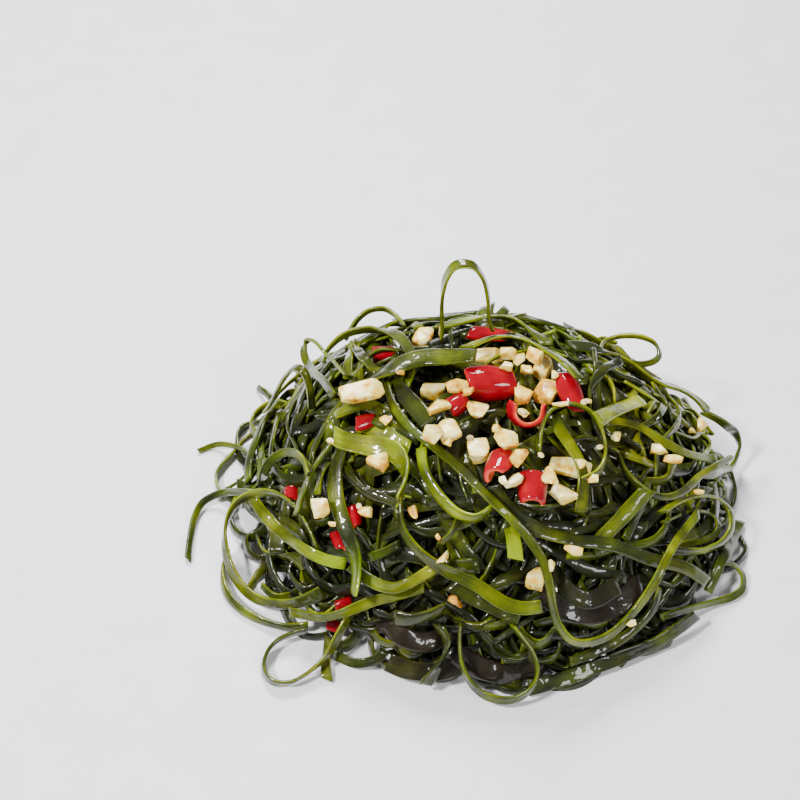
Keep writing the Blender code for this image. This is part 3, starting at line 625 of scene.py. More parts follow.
def wandering_route(x, y, lengths, draw):
    """Route of a shred that wanders both ways from a place."""
    heading, phase = draw.uniform(0, 2 * math.pi), draw.uniform(0, 6)
    length, sway = draw.uniform(*lengths) * MM, draw.uniform(-MOST_SWAY, MOST_SWAY)
    there = wander(x, y, heading, length / 2, sway, phase)
    back = wander(x, y, heading + math.pi, length / 2, -sway, phase)
    return back[:0:-1] + there


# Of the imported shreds: widths in millimetres, the share that lies on edge and how far,
# the tilt either way in degrees, and how their green changes
PACKED_WIDTHS = (2.4, 5.0)
ON_EDGE_SHARE = 0.3
ON_EDGE = (0.6, 1.0)
MOST_TILT = 25.0
BRIGHT_SHARE = 0.12
BRIGHTER_BY = 0.3
TONE_CHANGE = 0.12
SHADE_AT_FRONT = 0.24
TRIES = 4


def pack_shreds(name, bed, count, above_skin, tones, seed, lengths=(50, 110),
                part=(0.0, 2 * math.pi), spread=0.95, sides=LIGHT_HALF_SECTION):
    """Fill the bed up to a level with shreds, at the barest places first."""
    draw = random.Random(seed)
    bed.fill_to(above_skin)
    strips, laid = new_strips(), 0
    for _ in range(TRIES * count):
        width = draw.uniform(*PACKED_WIDTHS) * MM
        upright = draw.uniform(*ON_EDGE) if draw.random() < ON_EDGE_SHARE else None
        route = wandering_route(*bed.barest(draw, part, spread), lengths, draw)
        tilt = math.radians(draw.uniform(-MOST_TILT, MOST_TILT))
        tone = draw.uniform(*tones) + (BRIGHTER_BY if draw.random() < BRIGHT_SHARE else 0.0)
        rest = lie_down(bed, route, width, upright, tilt)
        if rest:
            front = min(max(-rest[0][:, 1].mean() / MOUND_HALF_DEPTH, 0.0), 1.0)
            tone -= SHADE_AT_FRONT * front
            far_tone = tone + draw.uniform(-TONE_CHANGE, TONE_CHANGE)
            add_strip(strips, *rest, width, (tone, far_tone), draw, sides)
            laid += 1
        if laid == count:
            break
    finish_strips(name, strips, "kelp_dark")


bed = Bed()
bed.hang(np.concatenate([points_on(node.data) for name, node in frame["nodes"].items()
                         if name != "kelp_tangle"]))
# The deep shreds get darker greens than those over them, as painted shade
pack_shreds("kelp_deep_shreds", bed, 100, -8.0 * MM, (0.08, 0.36), 3)
pack_shreds("kelp_short_shreds", bed, 170, -1.2 * MM, (0.22, 0.58), 5)
pack_shreds("kelp_top_shreds", bed, 30, 6.0 * MM, (0.16, 0.46), 9, lengths=(30, 60),
            spread=0.22)


# The shreds that show between the long ones
#
# Shorter ends and bends of the same cut strips, that can be made out in the photograph
# between and under the long ones. The wide brown ones low at the front lie soaked.

NEAR_MISS = 20.0 * MM
SEEN_LAYER = 5.0 * MM

# Width in millimetres, green at the left and right end, how upright (None: as it bends),
# how brown, and the pixels that it shows at, the back ones first
SEEN_SHREDS = (
    (7.0, (0.06, 0.10), 0.0, 0.8, ((540, 602), (565, 622), (592, 624), (622, 606),
                                   (640, 590))),
    (6.4, (0.06, 0.08), 0.0, 0.8, ((385, 622), (405, 638), (430, 642), (452, 630))),
    (6.8, (0.06, 0.08), 0.0, 0.8, ((452, 652), (480, 668), (510, 674), (545, 664))),
    (6.0, (0.10, 0.14), 0.0, 0.5, ((388, 662), (410, 670), (435, 672), (462, 664))),
    (5.6, (0.20, 0.12), 0.0, 0.3, ((548, 566), (566, 590), (590, 600), (618, 585))),
    (3.4, (0.60, 0.55), None, 0.0, ((555, 355), (575, 345), (600, 340), (615, 343))),
    (3.1, (0.60, 0.66), None, 0.0, ((530, 317), (555, 316), (580, 322), (600, 334),
                                    (620, 348), (630, 358))),
    (3.6, (0.42, 0.36), None, 0.0, ((590, 345), (588, 365), (582, 385))),
    (5.0, (0.46, 0.52), None, 0.0, ((600, 372), (630, 378), (660, 392), (690, 412),
                                    (710, 434))),
    (2.7, (0.48, 0.52), None, 0.0, ((258, 387), (268, 395), (277, 408), (285, 420))),
    (3.4, (0.56, 0.46), None, 0.0, ((348, 378), (349, 360), (352, 344), (362, 357),
                                    (375, 368), (388, 372))),
    (3.7, (0.70, 0.52), None, 0.0, ((335, 415), (350, 408), (370, 405), (395, 417))),
    (5.2, (0.30, 0.24), 0.3, 0.2, ((393, 380), (403, 393), (416, 408), (430, 425))),
    (4.8, (0.74, 0.80), None, 0.0, ((362, 422), (378, 430), (395, 438), (410, 448))),
    (3.0, (0.62, 0.58), None, 0.0, ((590, 370), (603, 375), (613, 388), (617, 402))),
    (2.7, (0.66, 0.58), None, 0.0, ((625, 380), (650, 398), (675, 415), (695, 435),
                                    (715, 455), (725, 465))),
    (2.7, (0.66, 0.60), None, 0.0, ((622, 446), (645, 458), (670, 467), (690, 465))),
    (1.8, (0.66, 0.52), 0.7, 0.0, ((198, 451), (218, 444), (237, 447), (252, 455),
                                   (262, 466), (270, 480))),
    (3.4, (0.40, 0.48), None, 0.0, ((237, 481), (250, 488), (263, 495), (277, 503))),
    (2.0, (0.66, 0.58), 0.8, 0.0, ((286, 484), (285, 468), (293, 461), (304, 460),
                                   (311, 468))),
    (3.0, (0.50, 0.56), None, 0.0, ((335, 455), (325, 475), (320, 490), (318, 502))),
    (3.1, (0.52, 0.66), None, 0.0, ((338, 487), (355, 480), (375, 472), (395, 465))),
    (5.2, (0.30, 0.34), None, 0.0, ((452, 428), (464, 446), (476, 464), (487, 482))),
    (2.7, (0.70, 0.54), None, 0.0, ((308, 524), (320, 523), (335, 518), (350, 508),
                                    (365, 495))),
    (2.7, (0.50, 0.46), None, 0.0, ((647, 480), (645, 500), (635, 520), (625, 540))),
    (2.7, (0.42, 0.38), None, 0.0, ((607, 485), (610, 505), (600, 524), (582, 530),
                                    (565, 537))),
    (2.4, (0.54, 0.50), 0.7, 0.0, ((665, 522), (690, 512), (712, 516), (718, 529),
                                   (704, 541), (680, 543))),
    (2.0, (0.48, 0.44), 0.8, 0.0, ((455, 505), (458, 520), (452, 540), (440, 550))),
    (2.0, (0.52, 0.50), 0.8, 0.0, ((490, 515), (497, 535), (495, 555), (485, 575),
                                   (478, 585))),
    (5.0, (0.26, 0.32), 1.0, 0.0, ((496, 500), (516, 508), (540, 511), (566, 506),
                                   (590, 512))),
    (5.0, (0.30, 0.26), 1.0, 0.0, ((506, 482), (520, 497), (536, 519), (548, 540))),
    (4.8, (0.24, 0.30), 1.0, 0.0, ((502, 520), (524, 502), (548, 496), (575, 498))),
    (4.2, (0.72, 0.84), None, 0.0, ((503, 512), (509, 532), (512, 552), (514, 572))),
    (3.1, (0.62, 0.56), None, 0.0, ((277, 548), (265, 565), (255, 580), (250, 590))),
    (2.6, (0.64, 0.60), 0.6, 0.0, ((262, 585), (268, 592), (280, 596), (295, 592),
                                   (305, 585))),
    (3.0, (0.44, 0.48), None, 0.0, ((362, 560), (380, 545), (400, 522))),
    (2.8, (0.50, 0.54), None, 0.0, ((370, 558), (385, 553), (400, 543))),
    (4.8, (0.54, 0.48), None, 0.0, ((318, 605), (328, 590), (345, 577), (357, 570))),
    (4.0, (0.38, 0.46), None, 0.0, ((450, 585), (475, 600), (500, 612), (520, 617))),
    (2.0, (0.56, 0.50), 0.8, 0.0, ((420, 577), (432, 590), (445, 602), (465, 612),
                                   (480, 617), (493, 613))),
    (2.7, (0.46, 0.54), None, 0.0, ((372, 630), (380, 640), (393, 643), (405, 633),
                                    (412, 622))),
    (3.4, (0.36, 0.34), None, 0.0, ((335, 655), (355, 663), (375, 660), (385, 650))),
    (3.4, (0.50, 0.60), None, 0.0, ((330, 638), (327, 652), (326, 666), (327, 680))),
    (3.8, (0.50, 0.42), 1.0, 0.0, ((468, 338), (480, 335), (491, 333), (503, 333),
                                   (515, 336))),
)


def seen_point(px, py):
    """The point of the heap's skin, or of the floor beside it, that shows at a pixel."""
    way = sight_line(px, py)
    place = EYE + way * ((cad_high[2] - EYE.z) / way.z)
    gap = place.z - float(mound(place.x, place.y))
    while gap > GAP:
        place, last_gap = place + way * GAP, gap
        gap = place.z - float(mound(place.x, place.y))
        if last_gap < gap and gap < NEAR_MISS:
            break
    return tuple(place)


bed.fill_to(SEEN_LAYER)
seen_shreds = new_strips()
laying = random.Random(8)
for width, tones, upright, brown, pixels in SEEN_SHREDS:
    route = [seen_point(*pixel) for pixel in pixels]
    line, wide = lie_down(bed, route, width * MM, upright, seen=True)
    if line[0][0] > line[-1][0]:
        line, wide = line[::-1], wide[::-1]
    add_strip(seen_shreds, line, wide, width * MM, tones, laying, brown=brown)
finish_strips("kelp_seen_shreds", seen_shreds, "kelp")


# The shreds at the back and at the rim
#
# The far side of the heap is dressed as the near side is: longer shreds outermost, a few
# of them bright, loops that stand on edge at the rim, and free ends that lie flat.

# Angles round the heap are in radians, radii and widths in millimetres, reaches are
# shares of the way out to the rim
BACK_PART = (0.06 * math.pi, 0.94 * math.pi)
RIM_LOOPS = 11
LOOP_REACH = 0.86
LOOP_RADII = (7.0, 10.5)
LOOP_SWEEPS = (3.6, 5.4)
LOOP_ON_EDGE = (0.75, 1.0)
ENDS_PART = (-0.1 * math.pi, 1.1 * math.pi)
RIM_ENDS = 13
END_START = 0.55
END_REACHES = (0.92, 0.98)
MOST_CURL = 0.3
END_ON_EDGE = (0.0, 0.5)
RIM_STRAY = 0.1
RIM_WIDTHS = (2.4, 4.0)
RIM_TONES = (0.4, 0.7)
RIM_TONE_CHANGE = 0.1


def ring_route(angle, radius, sweep):
    """Part of a ring at the rim, open towards the middle of the heap."""
    x = MOUND_HALF_WIDTH * LOOP_REACH * math.cos(angle)
    y = MOUND_HALF_DEPTH * LOOP_REACH * math.sin(angle) + MOUND_MIDDLE_Y
    return [(x + radius * math.cos(angle + turn), y + radius * math.sin(angle + turn), 0.0)
            for turn in np.linspace(-sweep / 2, sweep / 2, 9)]


def end_route(angle, reach, curl):
    """A free end: it comes out over the rim and curls to one side on the floor."""
    return [(MOUND_HALF_WIDTH * share * math.cos(angle + curl * share ** 3),
             MOUND_HALF_DEPTH * share * math.sin(angle + curl * share ** 3)
             + MOUND_MIDDLE_Y, 0.0) for share in np.linspace(END_START, reach, 6)]


def spaced_angles(part, count, draw):
    """Directions spread over a part of the rim, each a little out of its place."""
    for number in range(count):
        yield (part[0] + (part[1] - part[0]) * (number + 0.5) / count
               + draw.uniform(-RIM_STRAY, RIM_STRAY))


pack_shreds("kelp_back_shreds", bed, 26, 2.6 * MM, (0.32, 0.66), 17, lengths=(80, 140),
            part=BACK_PART, sides=HALF_SECTION)
bed.fill_to(SEEN_LAYER)
rim_shreds = new_strips()
laying = random.Random(21)
routes = []
for angle in spaced_angles(BACK_PART, RIM_LOOPS, laying):
    routes.append((ring_route(angle, laying.uniform(*LOOP_RADII) * MM,
                              laying.uniform(*LOOP_SWEEPS)), laying.uniform(*LOOP_ON_EDGE)))
for angle in spaced_angles(ENDS_PART, RIM_ENDS, laying):
    routes.append((end_route(angle, laying.uniform(*END_REACHES),
                             laying.uniform(-MOST_CURL, MOST_CURL)),
                   laying.uniform(*END_ON_EDGE)))
for route, upright in routes:
    width, tone = laying.uniform(*RIM_WIDTHS) * MM, laying.uniform(*RIM_TONES)
    rest = lie_down(bed, route, width, upright)
    if rest:
        far_tone = tone + laying.uniform(-RIM_TONE_CHANGE, RIM_TONE_CHANGE)
        add_strip(rim_shreds, *rest, width, (tone, far_tone), laying)
finish_strips("kelp_rim_shreds", rim_shreds, "kelp")


# The long shreds that lie outermost
#
# Each is one strip cut from the blade, about a millimetre thick, that runs over the
# heap or stands off it in a ring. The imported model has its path, so the strip here
# follows that path, with the cupping, the wavy edge and the slanted cut of the real one.

# How light each shred's green is at its left and right end, from 0, nearly black, to 1
SHRED_GREENS = {
    "back_band": (0.62, 0.55), "back_left_loop": (0.5, 0.55), "back_right_ring": (0.62, 0.5),
    "bottom_edge": (0.3, 0.36), "bottom_left_loop": (0.16, 0.62), "bottom_loop": (0.3, 0.5),
    "bottom_right": (0.42, 0.34), "bright_band": (0.8, 0.6), "front_dark": (0.26, 0.22),
    "front_leaf": (0.3, 0.3), "front_left_band": (0.55, 0.66), "front_sweep": (0.45, 0.58),
    "j_curve": (0.68, 0.8), "left_curl": (0.42, 0.5), "left_edge": (0.34, 0.42),
    "left_floor": (0.48, 0.56), "left_free_end": (0.46, 0.5), "left_long": (0.50, 0.54),
    "left_ring": (0.53, 0.5), "left_ring_band": (0.5, 0.85), "left_slope": (0.44, 0.42),
    "left_wide": (0.44, 0.58), "long_u": (0.46, 0.62), "lower_right_long": (0.36, 0.44),
    "outer_right": (0.46, 0.52), "right_arch": (0.66, 0.6), "right_cut_piece": (0.75, 0.9),
    "right_edge": (0.4, 0.34), "right_long_u": (0.46, 0.5), "right_outer_loop": (0.46, 0.42),
    "right_oval": (0.58, 0.54), "right_pale": (0.6, 0.56), "right_slope": (0.68, 0.6),
    "right_tail": (0.46, 0.42), "thin_ring": (0.52, 0.58), "top_band": (0.44, 0.4),
    "top_left_arch": (0.5, 0.44), "top_left_band": (0.5, 0.56), "top_left_curl": (0.52, 0.5),
    "top_loop": (0.56, 0.52), "top_right_band": (0.62, 0.58),
}


def path_of(node):
    """Middle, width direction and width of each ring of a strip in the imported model."""
    shape = bmesh.new()
    shape.from_mesh(frame["nodes"][node].data)
    bmesh.ops.remove_doubles(shape, verts=shape.verts, dist=1e-6)

    # From one cut end to the other, one ring of four corners after the next
    ring = next(filter(None, map(end_at, shape.edges)))
    rings, passed = [], set()
    while ring:
        rings.append(np.array(sorted(tuple(vert.co) for vert in ring)))
        passed |= ring
        ring = {edge.other_vert(vert) for vert in ring for edge in vert.link_edges} - passed
    shape.free()
    wide = []
    for corners in rings:
        sides = sorted(corners[1:] - corners[0], key=np.linalg.norm)
        side = sides[1] / np.linalg.norm(sides[1])
        wide.append(-side if wide and side @ wide[-1] < 0 else side)
        width = np.linalg.norm(sides[1])
    return np.array([corners.mean(0) for corners in rings]), np.array(wide), width


def end_at(edge):
    """The four corners round an edge, if they are a cut end of the strip."""
    corners = {vert for face in edge.link_faces for vert in face.verts}
    beyond = {other.other_vert(vert) for vert in corners for other in vert.link_edges}
    return corners if len(corners) == 4 and len(beyond - corners) == 4 else None


def slot_of(node):
    """The material slot that the record gives a node."""
    return next(part["material_slot"] for part in frame["record"]["subparts"]
                if part["node"] == node)


for name, tones in SHRED_GREENS.items():
    node = "strand_" + name
    middles, wide, width = path_of(node)
    line, share = curve_through(middles, FINE_SPACING)
    wide = rows_at(share, np.arange(len(wide)), wide)
    if line[0][0] > line[-1][0]:
        line, wide = line[::-1], wide[::-1]
    strip = new_strips()
    add_strip(strip, line, wide, width, tones, random.Random(name))
    finish_strips("kelp_" + name, strip, slot_of(node), node)

beneath_long_shreds = bed.under.copy()
bed.stamp(np.concatenate([points_on(node.data) for name, node in frame["nodes"].items()
                          if name != "kelp_tangle"]))


# The chopped garlic
#
# Raw cloves cut up with a knife. The cut faces are flat and a little fibrous, cream
# white, and stained orange where the oil has soaked in. The crumbs lie where they fell.

FIBRES = (260.0, 1900.0, 1900.0)
LUMP_SUBDIVISIONS = 4
ROUNDED_EDGES = 9.0
LUMP_NOISE = 0.04
CHIPS = 7
CHIP_REACH = (0.84, 1.0)
BIT_CUTS = 9
BIT_CUT_REACH = (0.26, 0.48)
EDGE_WEAR = 0.05
ROUGHNESS = 0.045
STAIN_BELOW = 0.3
USUAL_STAIN = 0.22
BEDDED = 0.12

# The nodes that are stained otherwise, and those that keep the round of the clove
STAINS = {"garlic_back_dome": 0.42, "garlic_long_slice": 0.3, "garlic_yellow_chunk": 0.62,
          "garlic_top_chunk": 0.4, "garlic_front_flake": 0.28}
ROUND_LUMPS = ("garlic_middle_oval", "garlic_top_right_chunk", "garlic_back_dome")

# Bits: the pixel at the middle, length, width and height in millimetres, turn, stain
GARLIC_BITS = (
    ((505, 366), (4.0, 3.2, 3.0), 20, 0.05), ((519, 359), (3.6, 6.2, 3.4), 5, 0.22),
    ((534, 357), (5.6, 4.2, 3.6), -20, 0.25), ((529, 370), (3.6, 3.8, 3.2), 40, 0.1),
    ((508, 352), (5.0, 3.6, 3.4), 0, 0.2), ((523, 394), (6.0, 7.4, 3.0), 35, 0.4),
    ((524, 413), (3.6, 3.6, 2.4), 0, 0.12), ((438, 405), (7.2, 3.8, 2.4), 30, 0.3),
    ((457, 384), (7.0, 4.6, 3.4), 20, 0.45), ((477, 409), (6.8, 6.0, 3.6), -15, 0.3),
    ((433, 433), (6.0, 6.4, 4.0), 25, 0.15), ((507, 440), (8.0, 5.8, 4.2), -25, 0.2),
    ((519, 455), (5.4, 5.4, 3.6), 40, 0.5), ((514, 481), (4.6, 6.4, 4.0), -25, 0.06),
    ((503, 479), (2.4, 3.6, 2.6), 0, 0.08), ((561, 492), (8.0, 7.2, 5.0), 20, 0.12),
    ((551, 478), (5.2, 4.2, 3.4), -30, 0.3), ((560, 404), (4.8, 2.0, 1.6), 12, 0.25),
    ((380, 459), (6.4, 5.6, 3.4), -30, 0.34), ((386, 421), (3.8, 4.0, 3.0), 10, 0.6),
    ((365, 511), (4.6, 4.4, 1.8), 0, 0.4), ((444, 558), (3.0, 4.8, 2.4), -30, 0.12),
    ((573, 551), (5.6, 2.6, 2.0), -8, 0.42), ((661, 450), (6.2, 3.0, 2.4), -12, 0.15),
    ((673, 460), (5.4, 3.2, 2.2), -20, 0.25), ((701, 425), (3.8, 4.8, 3.0), -30, 0.3),
    ((692, 431), (2.2, 2.2, 1.8), 0, 0.2), ((616, 436), (3.2, 3.2, 2.4), 15, 0.15),
    ((593, 478), (3.0, 3.0, 2.2), 0, 0.2), ((552, 565), (2.2, 3.2, 2.2), 20, 0.15),
    ((631, 624), (3.0, 1.8, 1.6), 15, 0.1), ((455, 601), (6.0, 2.8, 1.8), -35, 0.85),
    ((414, 513), (2.8, 4.4, 1.8), 30, 0.7), ((332, 525), (2.4, 1.6, 1.2), 0, 0.4),
    ((588, 401), (2.4, 2.2, 1.4), 0, 0.1), ((438, 537), (1.6, 3.2, 1.2), 20, 0.75),
    ((330, 441), (1.8, 2.6, 1.4), 30, 0.4), ((698, 491), (3.6, 1.8, 1.4), 10, 0.6),
    ((469, 392), (3.4, 3.0, 2.4), 10, 0.35), ((447, 443), (3.0, 2.2, 2.0), 0, 0.3),
    ((583, 463), (3.4, 3.0, 2.2), 30, 0.2), ((497, 429), (3.0, 2.6, 2.2), 10, 0.3),
    ((556, 375), (2.6, 2.2, 1.8), 0, 0.2), ((400, 372), (2.8, 2.0, 1.8), 20, 0.7),
)
GARLIC_TONES = ((0.0, (1.0, 0.88, 0.40)), (0.3, (0.98, 0.71, 0.11)),
                (0.62, (0.82, 0.42, 0.02)), (1.0, (0.30, 0.11, 0.01)))


def garlic_material():
    """Cream white with fibres in it, and orange where the oil has soaked in."""
    material, shader, add, link = new_material("garlic")
    grain = add("ShaderNodeAttribute", {"attribute_name": "grain"}).outputs["Vector"]
    drawn_out = add("ShaderNodeMapping", Vector=grain, Scale=FIBRES).outputs[0]
    fibres = speckle(add, drawn_out, 1.0, 4.0)
    clouds = speckle(add, grain, 330.0, 3.0, Distortion=0.6)
    soaked = reckon(add, "MULTIPLY_ADD", clouds, 2.3, -1.18)
    soaked = reckon(add, "MULTIPLY_ADD", fibres, 0.3, soaked)
    soaked = reckon(add, "ADD", soaked, parts_of(add, "look")["X"])
    link(ramp(add, soaked, GARLIC_TONES), shader.inputs["Base Color"])
    link(from_speckle(add, clouds, 0.5, 0.28), shader.inputs["Roughness"])
    link(relief(add, fibres, 0.55, 0.0005), shader.inputs["Normal"])
    set_finish(shader, Coat_Weight=0.4, Coat_Roughness=0.12, Subsurface_Weight=0.3,
               Subsurface_Radius=(1.0, 0.8, 0.4), Subsurface_Scale=0.0014)
    return material


def rounded_lump(planes, spread):
    """A lump with the round of the clove: a ball drawn in softly to the given planes."""
    shape = bmesh.new()
    bmesh.ops.create_icosphere(shape, subdivisions=LUMP_SUBDIVISIONS, radius=1.0)
    normals = np.array([normal for normal, _ in planes])
    reaches = np.array([reach for _, reach in planes])
    for vert in shape.verts:
        way = Vector([a * b for a, b in zip(vert.co, spread)]).normalized()
        near = np.maximum(normals @ np.array(way), 1e-3) / reaches
        vert.co = way * np.sum(near ** ROUNDED_EDGES) ** (-1 / ROUNDED_EDGES)
        vert.co *= 1 + LUMP_NOISE * noise.noise(way * 2.6 + spread * 1000)
    return shape


def cut_lump(planes, size):
    """A lump with knife-cut faces: a block cut off at the given planes, edges worn."""
    shape = bmesh.new()
    bmesh.ops.create_cube(shape, size=3 * max(size))
    for normal, reach in planes:
        bmesh.ops.bisect_plane(shape, geom=shape.verts[:] + shape.edges[:] + shape.faces[:],
                               plane_co=normal * reach, plane_no=normal, clear_outer=True)
        bmesh.ops.holes_fill(shape, edges=[edge for edge in shape.edges
                                           if edge.is_boundary])
    bmesh.ops.dissolve_limit(shape, angle_limit=0.05, verts=shape.verts, edges=shape.edges)
    bmesh.ops.remove_doubles(shape, verts=shape.verts, dist=EDGE_WEAR * min(size))
    bmesh.ops.bevel(shape, geom=shape.edges[:], offset=EDGE_WEAR * min(size), segments=2,
                    profile=0.5, affect="EDGES", clamp_overlap=True)
    bmesh.ops.triangulate(shape, faces=shape.faces)
    bmesh.ops.subdivide_edges(shape, edges=shape.edges[:], cuts=1, use_grid_fill=True)
    bmesh.ops.triangulate(shape, faces=shape.faces)
    shift = {vert: vert.normal * noise.noise(vert.co / MM * 0.9) for vert in shape.verts}
    for vert, way in shift.items():
        vert.co += way * ROUGHNESS * min(size)
    return shape


def add_look(shape, stain, draw):
    """What the finish reads: the place in the clove, and the stain, more at the foot."""
    grain_at, look_at = (shape.verts.layers.float_vector.new(name)
                         for name in ("grain", "look"))
    seed = Vector([draw.uniform(0, 9) for _ in range(3)])
    heights = [vert.co.z for vert in shape.verts]
    for vert in shape.verts:
        above = (vert.co.z - min(heights)) / (max(heights) - min(heights))
        vert[grain_at] = vert.co + seed
        vert[look_at] = (stain + STAIN_BELOW * (0.5 - above), 0.0, 0.0)


def join_in(whole, part):
    """Put a finished part into the body that is to hold all of them."""
    passing = bpy.data.meshes.new("passing")
    part.to_mesh(passing)
    part.free()
    whole.from_mesh(passing)
    bpy.data.meshes.remove(passing)


def planes_of(mesh):
    """The middle of a packed chunk, and the planes of its faces, measured from there."""
    corners = np.array([vert.co for vert in mesh.vertices])
    middle = Vector((corners.max(0) + corners.min(0)) / 2)
    planes = {}
    for face in mesh.polygons:
        key = tuple(round(value, 2) for value in face.normal)
        planes[key] = (face.normal.copy(), (face.center - middle).dot(face.normal))
    return middle, list(planes.values())


def cut_planes(size, draw):
    """A block's six sides, with knife cuts taken off it all round."""
    planes = [(side * Vector([k == axis for k in range(3)]), size[axis] / 2)
              for axis in range(3) for side in (-1, 1)]
    for _ in range(BIT_CUTS):
        way = Vector([draw.uniform(-1, 1) for _ in range(3)]).normalized()
        slant = Vector([a / b for a, b in zip(way, size)])
        planes.append((slant.normalized(), draw.uniform(*BIT_CUT_REACH) / slant.length))
    return planes


def chips_off(mesh, middle, draw):
    """Small chips off the corners of a packed chunk, each just inside its outline."""
    corners = np.array([vert.co for vert in mesh.vertices]) - np.array(middle)
    planes = []
    for _ in range(CHIPS):
        way = Vector([draw.uniform(-1, 1) for _ in range(3)]).normalized()
        planes.append((way, draw.uniform(*CHIP_REACH) * float(np.max(corners @ way))))
    return planes


def set_down(verts, pixel, surface, sink=0.0):
    """Bring a small piece in along the line of sight to a pixel, until it rests."""
    way = sight_line(*pixel)
    points = np.array([vert.co for vert in verts])
    place = EYE + way * ((cad_high[2] - EYE.z) / way.z)
    while np.mean(surface[bed.cells(points + place)] > points[:, 2] + place.z) < BEDDED:
        place = place + way * GAP
    place = place + way * sink
    for vert in verts:
        vert.co += place
    bed.stamp(points + place)


chopped_garlic = garlic_material()
for node in frame["nodes"]:
    if node.startswith("garlic_"):
        draw = random.Random(node)
        mesh = frame["nodes"][node].data
        middle, planes = planes_of(mesh)
        low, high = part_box(node)
        spread = Vector(high) - Vector(low)
        lump = (rounded_lump(planes, spread) if node in ROUND_LUMPS
                else cut_lump(planes + chips_off(mesh, middle, draw), spread))
        add_look(lump, STAINS.get(node, USUAL_STAIN), draw)
        bmesh.ops.translate(lump, vec=middle, verts=lump.verts)
        finish_piece("chopped_" + node, lump, chopped_garlic, "garlic", node)

chopping = random.Random(11)
bits = bmesh.new()
for pixel, size, turn, stain in GARLIC_BITS:
    size = Vector(size) * MM
    bit = cut_lump(cut_planes(size, chopping), size)
    add_look(bit, stain, chopping)
    turn = Matrix.Rotation(math.radians(turn), 3, "Z")
    bmesh.ops.rotate(bit, verts=bit.verts, matrix=turn)
    set_down(bit.verts, pixel, bed.under)
    join_in(bits, bit)
finish_piece("chopped_garlic_bits", bits, chopped_garlic, "garlic")


# The cut red chilli
#
# A thin-walled fresh pod cut across and along. Its skin is bright and glossy, and its
# flesh shows paler and more orange on the cut edges and inside. A few seeds have come out.

CHILLI_WALL = 1.5 * MM
CHILLI_TAPER = 0.2
CHILLI_BULGE = 0.55
CHILLI_ARC_STEPS = 22
CHILLI_RINGS = 20
CUT_ROUNDING = 0.75
SKIN_RIDGES = 0.018
SKEW = 0.12

# Outer radius and length in millimetres, opening in degrees, the way its axis points in
# plan and rises, where the middle of its skin faces, and how far its ends are rounded off
CHILLI_PIECES = {
    "chilli_half_pod": (6.4, 15.0, 175, 8, 0, 125, 0.35),
    "chilli_open_ring": (6.4, 4.4, 130, -80, 40, 262, 0.05),
    "chilli_wedge": (4.6, 13.5, 200, -68, -10, 80, 0.45),
    "chilli_ring_piece": (5.2, 8.6, 165, -105, 12, 140, 0.15),
    "chilli_tube_piece": (4.7, 8.8, 150, -85, -12, 90, 0.1),
    "chilli_left_chip": (3.6, 6.5, 180, 40, 10, 110, 0.2),
    "chilli_back_chip": (4.0, 7.5, 190, 15, 0, 90, 0.2),
}
# Bits that lie beneath the long shreds and show between them: the pixel at the middle,
# then as above, and how far it is tucked in
CHILLI_BITS = (
    ((365, 421), (3.2, 6.0, 200, 25, 0, 90, 0.15), 0.4),
    ((491, 333), (3.4, 13.0, 220, -2, 0, 90, 0.1), 0.6),
    ((291, 493), (2.8, 4.6, 190, -75, 0, 100, 0.1), 0.4),
    ((353, 516), (2.8, 7.0, 200, -72, 0, 90, 0.1), 0.4),
    ((339, 540), (2.6, 6.0, 200, -66, 0, 90, 0.1), 0.4),
    ((348, 441), (2.2, 3.6, 180, 10, 0, 90, 0.1), 0.2),
    ((343, 604), (2.4, 5.4, 190, 34, 0, 90, 0.1), 0.4),
    ((334, 624), (2.4, 4.6, 190, -20, 0, 90, 0.1), 0.4),
    ((455, 399), (2.0, 3.4, 190, 60, 0, 90, 0.1), 0.4),
)
BIT_SKEW = 0.34
SEEDS = ((584, 402), (359, 506), (523, 412), (470, 438), (541, 455), (600, 447))
SEED_SIZE = Vector((1.2, 0.95, 0.4)) * MM
SEED_LEAN = 0.7
FLESH_TONES = ((0.0, (0.22, 0.0, 0.006)), (0.2, (0.37, 0.0, 0.009)),
               (0.6, (0.62, 0.03, 0.010)), (1.0, (0.76, 0.14, 0.05)))


def chilli_material():
    """Glossy red skin that turns to a duller orange red through the wall."""
    material, shader, add, link = new_material("red_chilli")
    inwards = parts_of(add, "wall")["X"]
    place = add("ShaderNodeTexCoord").outputs["Object"]
    depth = reckon(add, "MULTIPLY_ADD", speckle(add, place, 210.0, 3.0), 0.5, -0.18)
    depth = reckon(add, "ADD", depth, inwards)
    link(ramp(add, depth, FLESH_TONES), shader.inputs["Base Color"])
    link(add("ShaderNodeMapRange", Value=inwards, To_Min=0.14, To_Max=0.36).outputs[0],
         shader.inputs["Roughness"])
    pits = relief(add, speckle(add, place, 700.0, 3.0), 0.16, 0.0004)
    link(pits, shader.inputs["Normal"])
    link(pits, shader.inputs["Coat Normal"])
    set_finish(shader, Specular_IOR_Level=0.0, Coat_Weight=0.75, Coat_Roughness=0.04,
               Subsurface_Weight=0.1, Subsurface_Radius=(1.0, 0.12, 0.06),
               Subsurface_Scale=0.0015)
    return material


def seed_material():
    """Pale straw yellow."""
    material, shader, add, link = new_material("chilli_seed")
    place = add("ShaderNodeTexCoord").outputs["Object"]
    link(ramp(add, speckle(add, place, 900.0), ((0.3, (0.62, 0.44, 0.16)),
                                                (0.7, (0.84, 0.70, 0.36)))),
         shader.inputs["Base Color"])
    set_finish(shader, Roughness=0.35)
    return material


